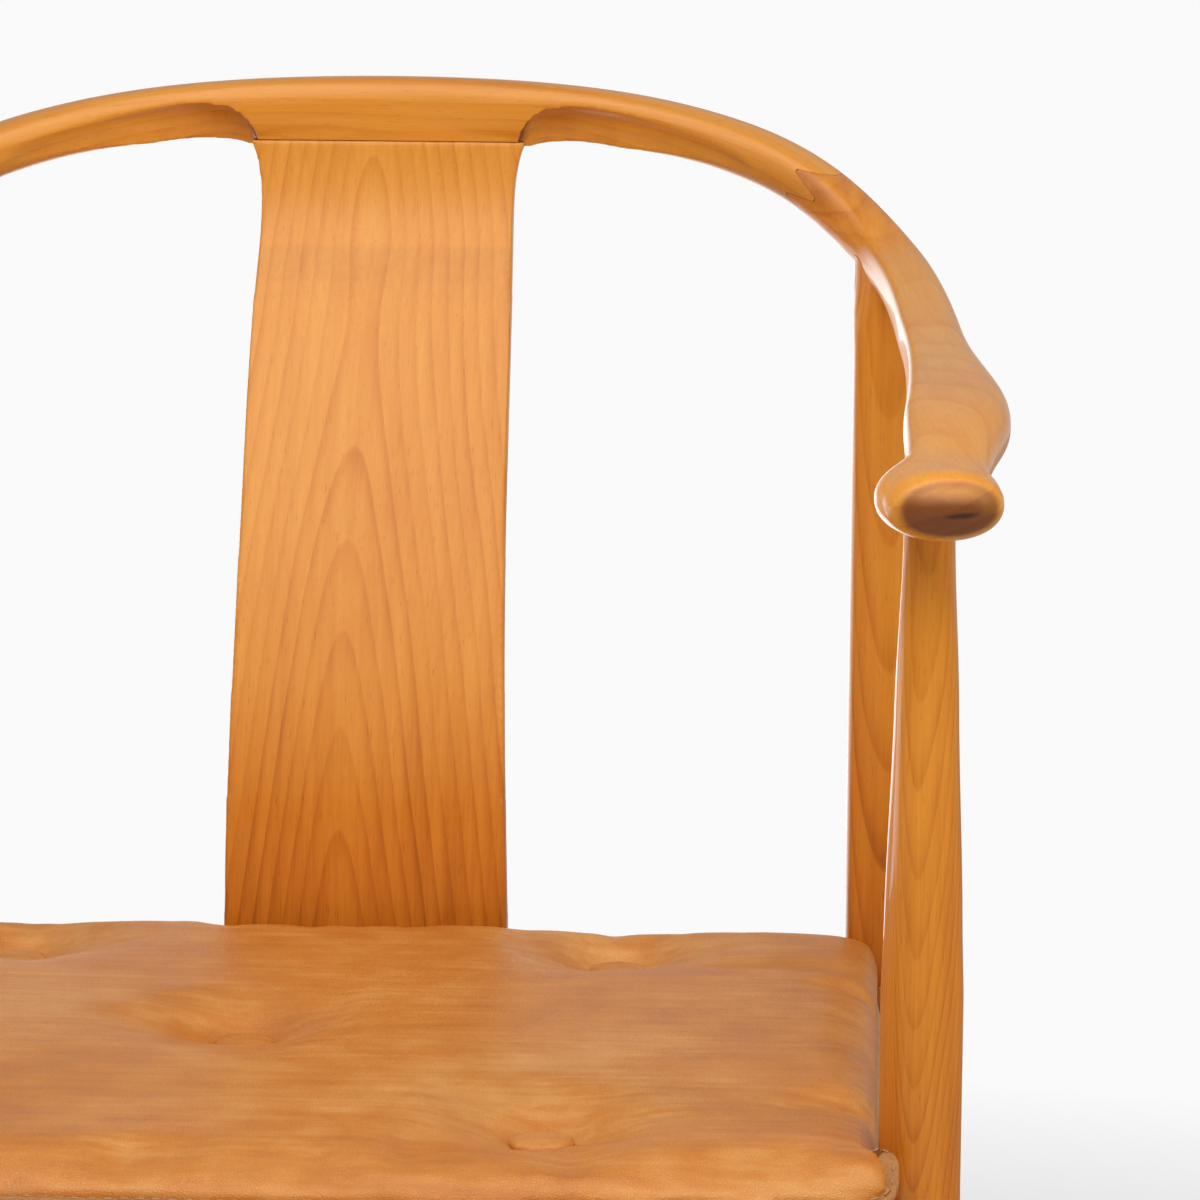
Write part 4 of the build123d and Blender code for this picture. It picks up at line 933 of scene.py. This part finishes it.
def stitch_nodes(add, given):
    line = add("GeometryNodeMeshToCurve", {}, {"Mesh": given["Geometry"]})
    spots = add("GeometryNodeCurveToPoints", {"mode": "LENGTH"}, {"Curve": line.outputs[0],
                                                                  "Length": given["Spacing"]})
    bead = add("GeometryNodeMeshIcoSphere", {}, {"Subdivisions": 2, "Radius": 0.5})
    turned = add("FunctionNodeAlignRotationToVector", {"axis": "X"}, {"Vector": spots.outputs["Tangent"]})
    size = add("ShaderNodeCombineXYZ", {}, {"X": given["Length"], "Y": given["Thickness"],
                                            "Z": given["Thickness"]})
    placed = add("GeometryNodeInstanceOnPoints", {}, {
        "Points": spots.outputs[0], "Instance": bead.outputs[0], "Rotation": turned.outputs[0],
        "Scale": size.outputs[0]})
    return placed.outputs[0]


sewn_share, thread_lift = 0.72, 0.0002
sewn = inside_edge(edge_line, deep * sewn_share)
sewn_height = seam_level(sewn) + edge_thick / 2 + thread_lift + edge_wave(sewn)
sewn_mesh = bpy.data.meshes.new("cushion_stitches")
sewn_mesh.from_pydata([tuple(p) for p in np.column_stack([sewn, sewn_height])],
                      [(j, (j + 1) % len(sewn)) for j in range(len(sewn))], [])
stitches = bpy.data.objects.new("cushion_stitches", sewn_mesh)
bpy.context.collection.objects.link(stitches)
run_nodes(stitches, grow_nodes("saddle_stitches", {
    "Spacing": "NodeSocketFloat", "Length": "NodeSocketFloat", "Thickness": "NodeSocketFloat",
    "Material": "NodeSocketMaterial"}, stitch_nodes),
    Spacing=0.0060, Length=0.0042, Thickness=0.0010, Material=thread.material)
stitches.data.shade_smooth()
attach(stitches, "cushion")

# ------------------------ cushion buttons
# Leather-covered shanks above and below, drawn together through the pad by waxed cords.
# The upper ones are shaped here, each a little uneven where its leather is gathered.
# Radius and height: the shank, then the cap from its underside to near its middle.
button_profile = [(0.0020, -0.0037), (0.0022, -0.0002), (0.0106, 0.0), (0.0119, 0.0006), (0.0125, 0.0018),
                  (0.0122, 0.0031), (0.0110, 0.0041), (0.0088, 0.0046), (0.0060, 0.0049), (0.0030, 0.0050)]
button_radius = max(radius for radius, height in button_profile)
button_base, button_round, shank_end, cap_top = 0.4354, 48, -0.0037, 0.0051
button_rows = len(button_profile)
button_places, button_faces = [], []
for bx, by in [(bx, by - button_forward) for bx, by in buttons]:
    first = len(button_places)
    for radius, height in button_profile:
        for a in np.linspace(0, 2 * math.pi, button_round, endpoint=False):
            pull = noise.noise(Vector((math.cos(a) * 3 + bx * 50, math.sin(a) * 3, by * 50)))
            button_places.append((bx + radius * math.cos(a), by + radius * math.sin(a),
                                  button_base + height + pull * 0.0004 * (radius / button_radius) ** 2))
    button_faces += ring_faces(button_rows, button_round, first)
    for row, height in ((0, shank_end), (button_rows - 1, cap_top)):
        button_places.append((bx, by, button_base + height))
        row_start = first + row * button_round
        button_faces += [(len(button_places) - 1, row_start + j, row_start + (j + 1) % button_round)
                         for j in range(button_round)]
button_piece = new_piece("cushion_leather_buttons", button_places, button_faces)
button_piece.data.shade_smooth()
button_piece.data.materials.append(leather.material)
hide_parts("cushion_buttons")
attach(button_piece, "cushion")
dress("cushion_underside_buttons", leather.material)
dress("tufting_cords", thread.material)

# ------------------------ room, light and camera
# A pale floor that takes the chair's shadow and melts into the white backdrop. In the
# oiled wood it is mirrored bright far behind at the left and dim elsewhere.
backdrop_white, mirrored_far, mirrored_near = 0.955, 2.4, 0.3
pale = Finish("pale_floor")
floor_x, floor_y = pale.along(pale.place, "X"), pale.along(pale.place, "Y")
far_away = (((floor_x * floor_x + floor_y * floor_y) ** 0.5 - 0.8) / 0.9).clip()
dust = pale.noise(pale.place, 30.0, 4.0)
pale.feed(pale.skin, {"Base Color": pale.ramp(dust, [(0.2, (0.83, 0.83, 0.83)), (0.8, (0.86, 0.86, 0.86))]),
                      "Roughness": 0.6})
ray = pale.node("ShaderNodeLightPath").outputs
behind_left = ((floor_y - 0.6) / 0.8).clip() * ((floor_x * -1 + 0.25) / 0.3).clip()
seen, bright, dim = (
    pale.node("ShaderNodeEmission", {}, {"Color": (1.0, 1.0, 1.0), "Strength": strength}).outputs[0]
    for strength in (backdrop_white, mirrored_far, mirrored_near))
mirrored = pale.node("ShaderNodeMixShader", {}, {0: behind_left, 1: dim, 2: bright}).outputs[0]
unmirrored = pale.node("ShaderNodeMixShader", {}, {
    0: far_away * Level(pale, ray["Is Camera Ray"]), 1: pale.skin.outputs[0], 2: seen}).outputs[0]
either = pale.node("ShaderNodeMixShader", {}, {0: ray["Is Glossy Ray"], 1: unmirrored, 2: mirrored})
pale.feed(pale.out, {"Surface": either.outputs[0]})
floor_round = 64
floor_points = [(r * math.cos(a), r * math.sin(a), 0.0) for r in (1.0, 2.5, 6.0)
                for a in np.linspace(0, 2 * math.pi, floor_round, endpoint=False)] + [(0.0, 0.0, 0.0)]
floor_faces = ring_faces(3, floor_round) + [(3 * floor_round, j, (j + 1) % floor_round)
                                            for j in range(floor_round)]
floor = new_piece("floor", floor_points, floor_faces)
floor.data.materials.append(pale.material)

world = bpy.data.worlds.new("studio")
world.use_nodes = True
bpy.context.scene.world = world
sky = world.node_tree.nodes
split = sky.new("ShaderNodeSeparateXYZ")
world.node_tree.links.new(sky.new("ShaderNodeTexCoord").outputs["Generated"], split.inputs[0])


def spread(axis, low, high, at_low, at_high):
    """A level that runs from one value to another over a range of directions."""
    made = sky.new("ShaderNodeMapRange")
    for key, value in (("From Min", low), ("From Max", high), ("To Min", at_low), ("To Max", at_high)):
        made.inputs[key].default_value = value
    world.node_tree.links.new(split.outputs[axis], made.inputs["Value"])
    return made.outputs[0]


def between(share, first, second):
    """Mix of two levels; each input is a number or a socket."""
    made = sky.new("ShaderNodeMix")
    for key, value in ((0, share), (2, first), (3, second)):
        if isinstance(value, bpy.types.NodeSocket):
            world.node_tree.links.new(value, made.inputs[key])
        else:
            made.inputs[key].default_value = value
    return made.outputs[0]


# What the chair mirrors: behind it and to its left the backdrop is bright near the horizon
# and dim overhead; the room before it is bright above and dark below.
overhead = 0.36
horizon = between(spread("X", -0.08, 0.04, 1.0, 0.10), overhead, spread("Z", -0.11, 0.11, 2.90, overhead))
backdrop = between(spread("Y", 0.45, 0.80, 0.0, 1.0), overhead, horizon)
room = spread("Z", -0.05, 0.85, 0.10, 3.20)
mirrored_room = between(spread("Y", -0.30, 0.20, 0.0, 1.0), room, backdrop)
sky_ray = sky.new("ShaderNodeLightPath").outputs
lit = between(sky_ray["Is Glossy Ray"], spread("Z", -0.10, 0.90, 0.16, 0.60), mirrored_room)
air = sky["Background"].inputs
air["Color"].default_value = (1.0, 1.0, 1.0, 1.0)
world.node_tree.links.new(between(sky_ray["Is Camera Ray"], lit, backdrop_white), air["Strength"])


def lamp(name, place, aim, width, height, power):
    """A soft panel that the camera and the wood don't see."""
    light = bpy.data.lights.new(name, "AREA")
    light.shape = "RECTANGLE"
    light.size, light.size_y, light.energy = width, height, power
    holder = bpy.data.objects.new(name, light)
    holder.location = place
    holder.rotation_euler = (Vector(aim) - Vector(place)).to_track_quat("-Z", "Y").to_euler()
    holder.visible_camera = holder.visible_glossy = False
    bpy.context.collection.objects.link(holder)


lamp("panel_front", (0.05, -1.10, 1.66), (0.1, 0.05, 0.68), 1.1, 0.8, 13.4)
lamp("panel_left", (-1.55, 0.9, 0.8), (0.2, -0.15, 0.6), 1.6, 1.2, 7.0)
lamp("panel_right", (1.9, -0.8, 1.3), (0.05, 0.0, 0.6), 1.0, 1.4, 9.0)

camera = bpy.data.cameras.new("camera")
camera.lens, camera.sensor_width = 149.94, 36.0
camera_place = (0.22865, -2.045, 0.9219)
yaw, pitch, roll = (math.radians(a) for a in (3.244, 8.493, 0.402))
ahead = Vector((-math.sin(yaw) * math.cos(pitch), math.cos(yaw) * math.cos(pitch), -math.sin(pitch)))
level_right = Vector((math.cos(yaw), math.sin(yaw), 0))
level_up = level_right.cross(ahead)
camera_right = level_right * math.cos(roll) + level_up * math.sin(roll)
camera_up = level_up * math.cos(roll) - level_right * math.sin(roll)
viewer = bpy.data.objects.new("camera", camera)
stance = Matrix((camera_right, camera_up, -ahead)).transposed().to_4x4()
stance.translation = camera_place
viewer.matrix_world = stance
bpy.context.collection.objects.link(viewer)
bpy.context.scene.camera = viewer
bpy.context.scene.view_settings.view_transform = "Standard"
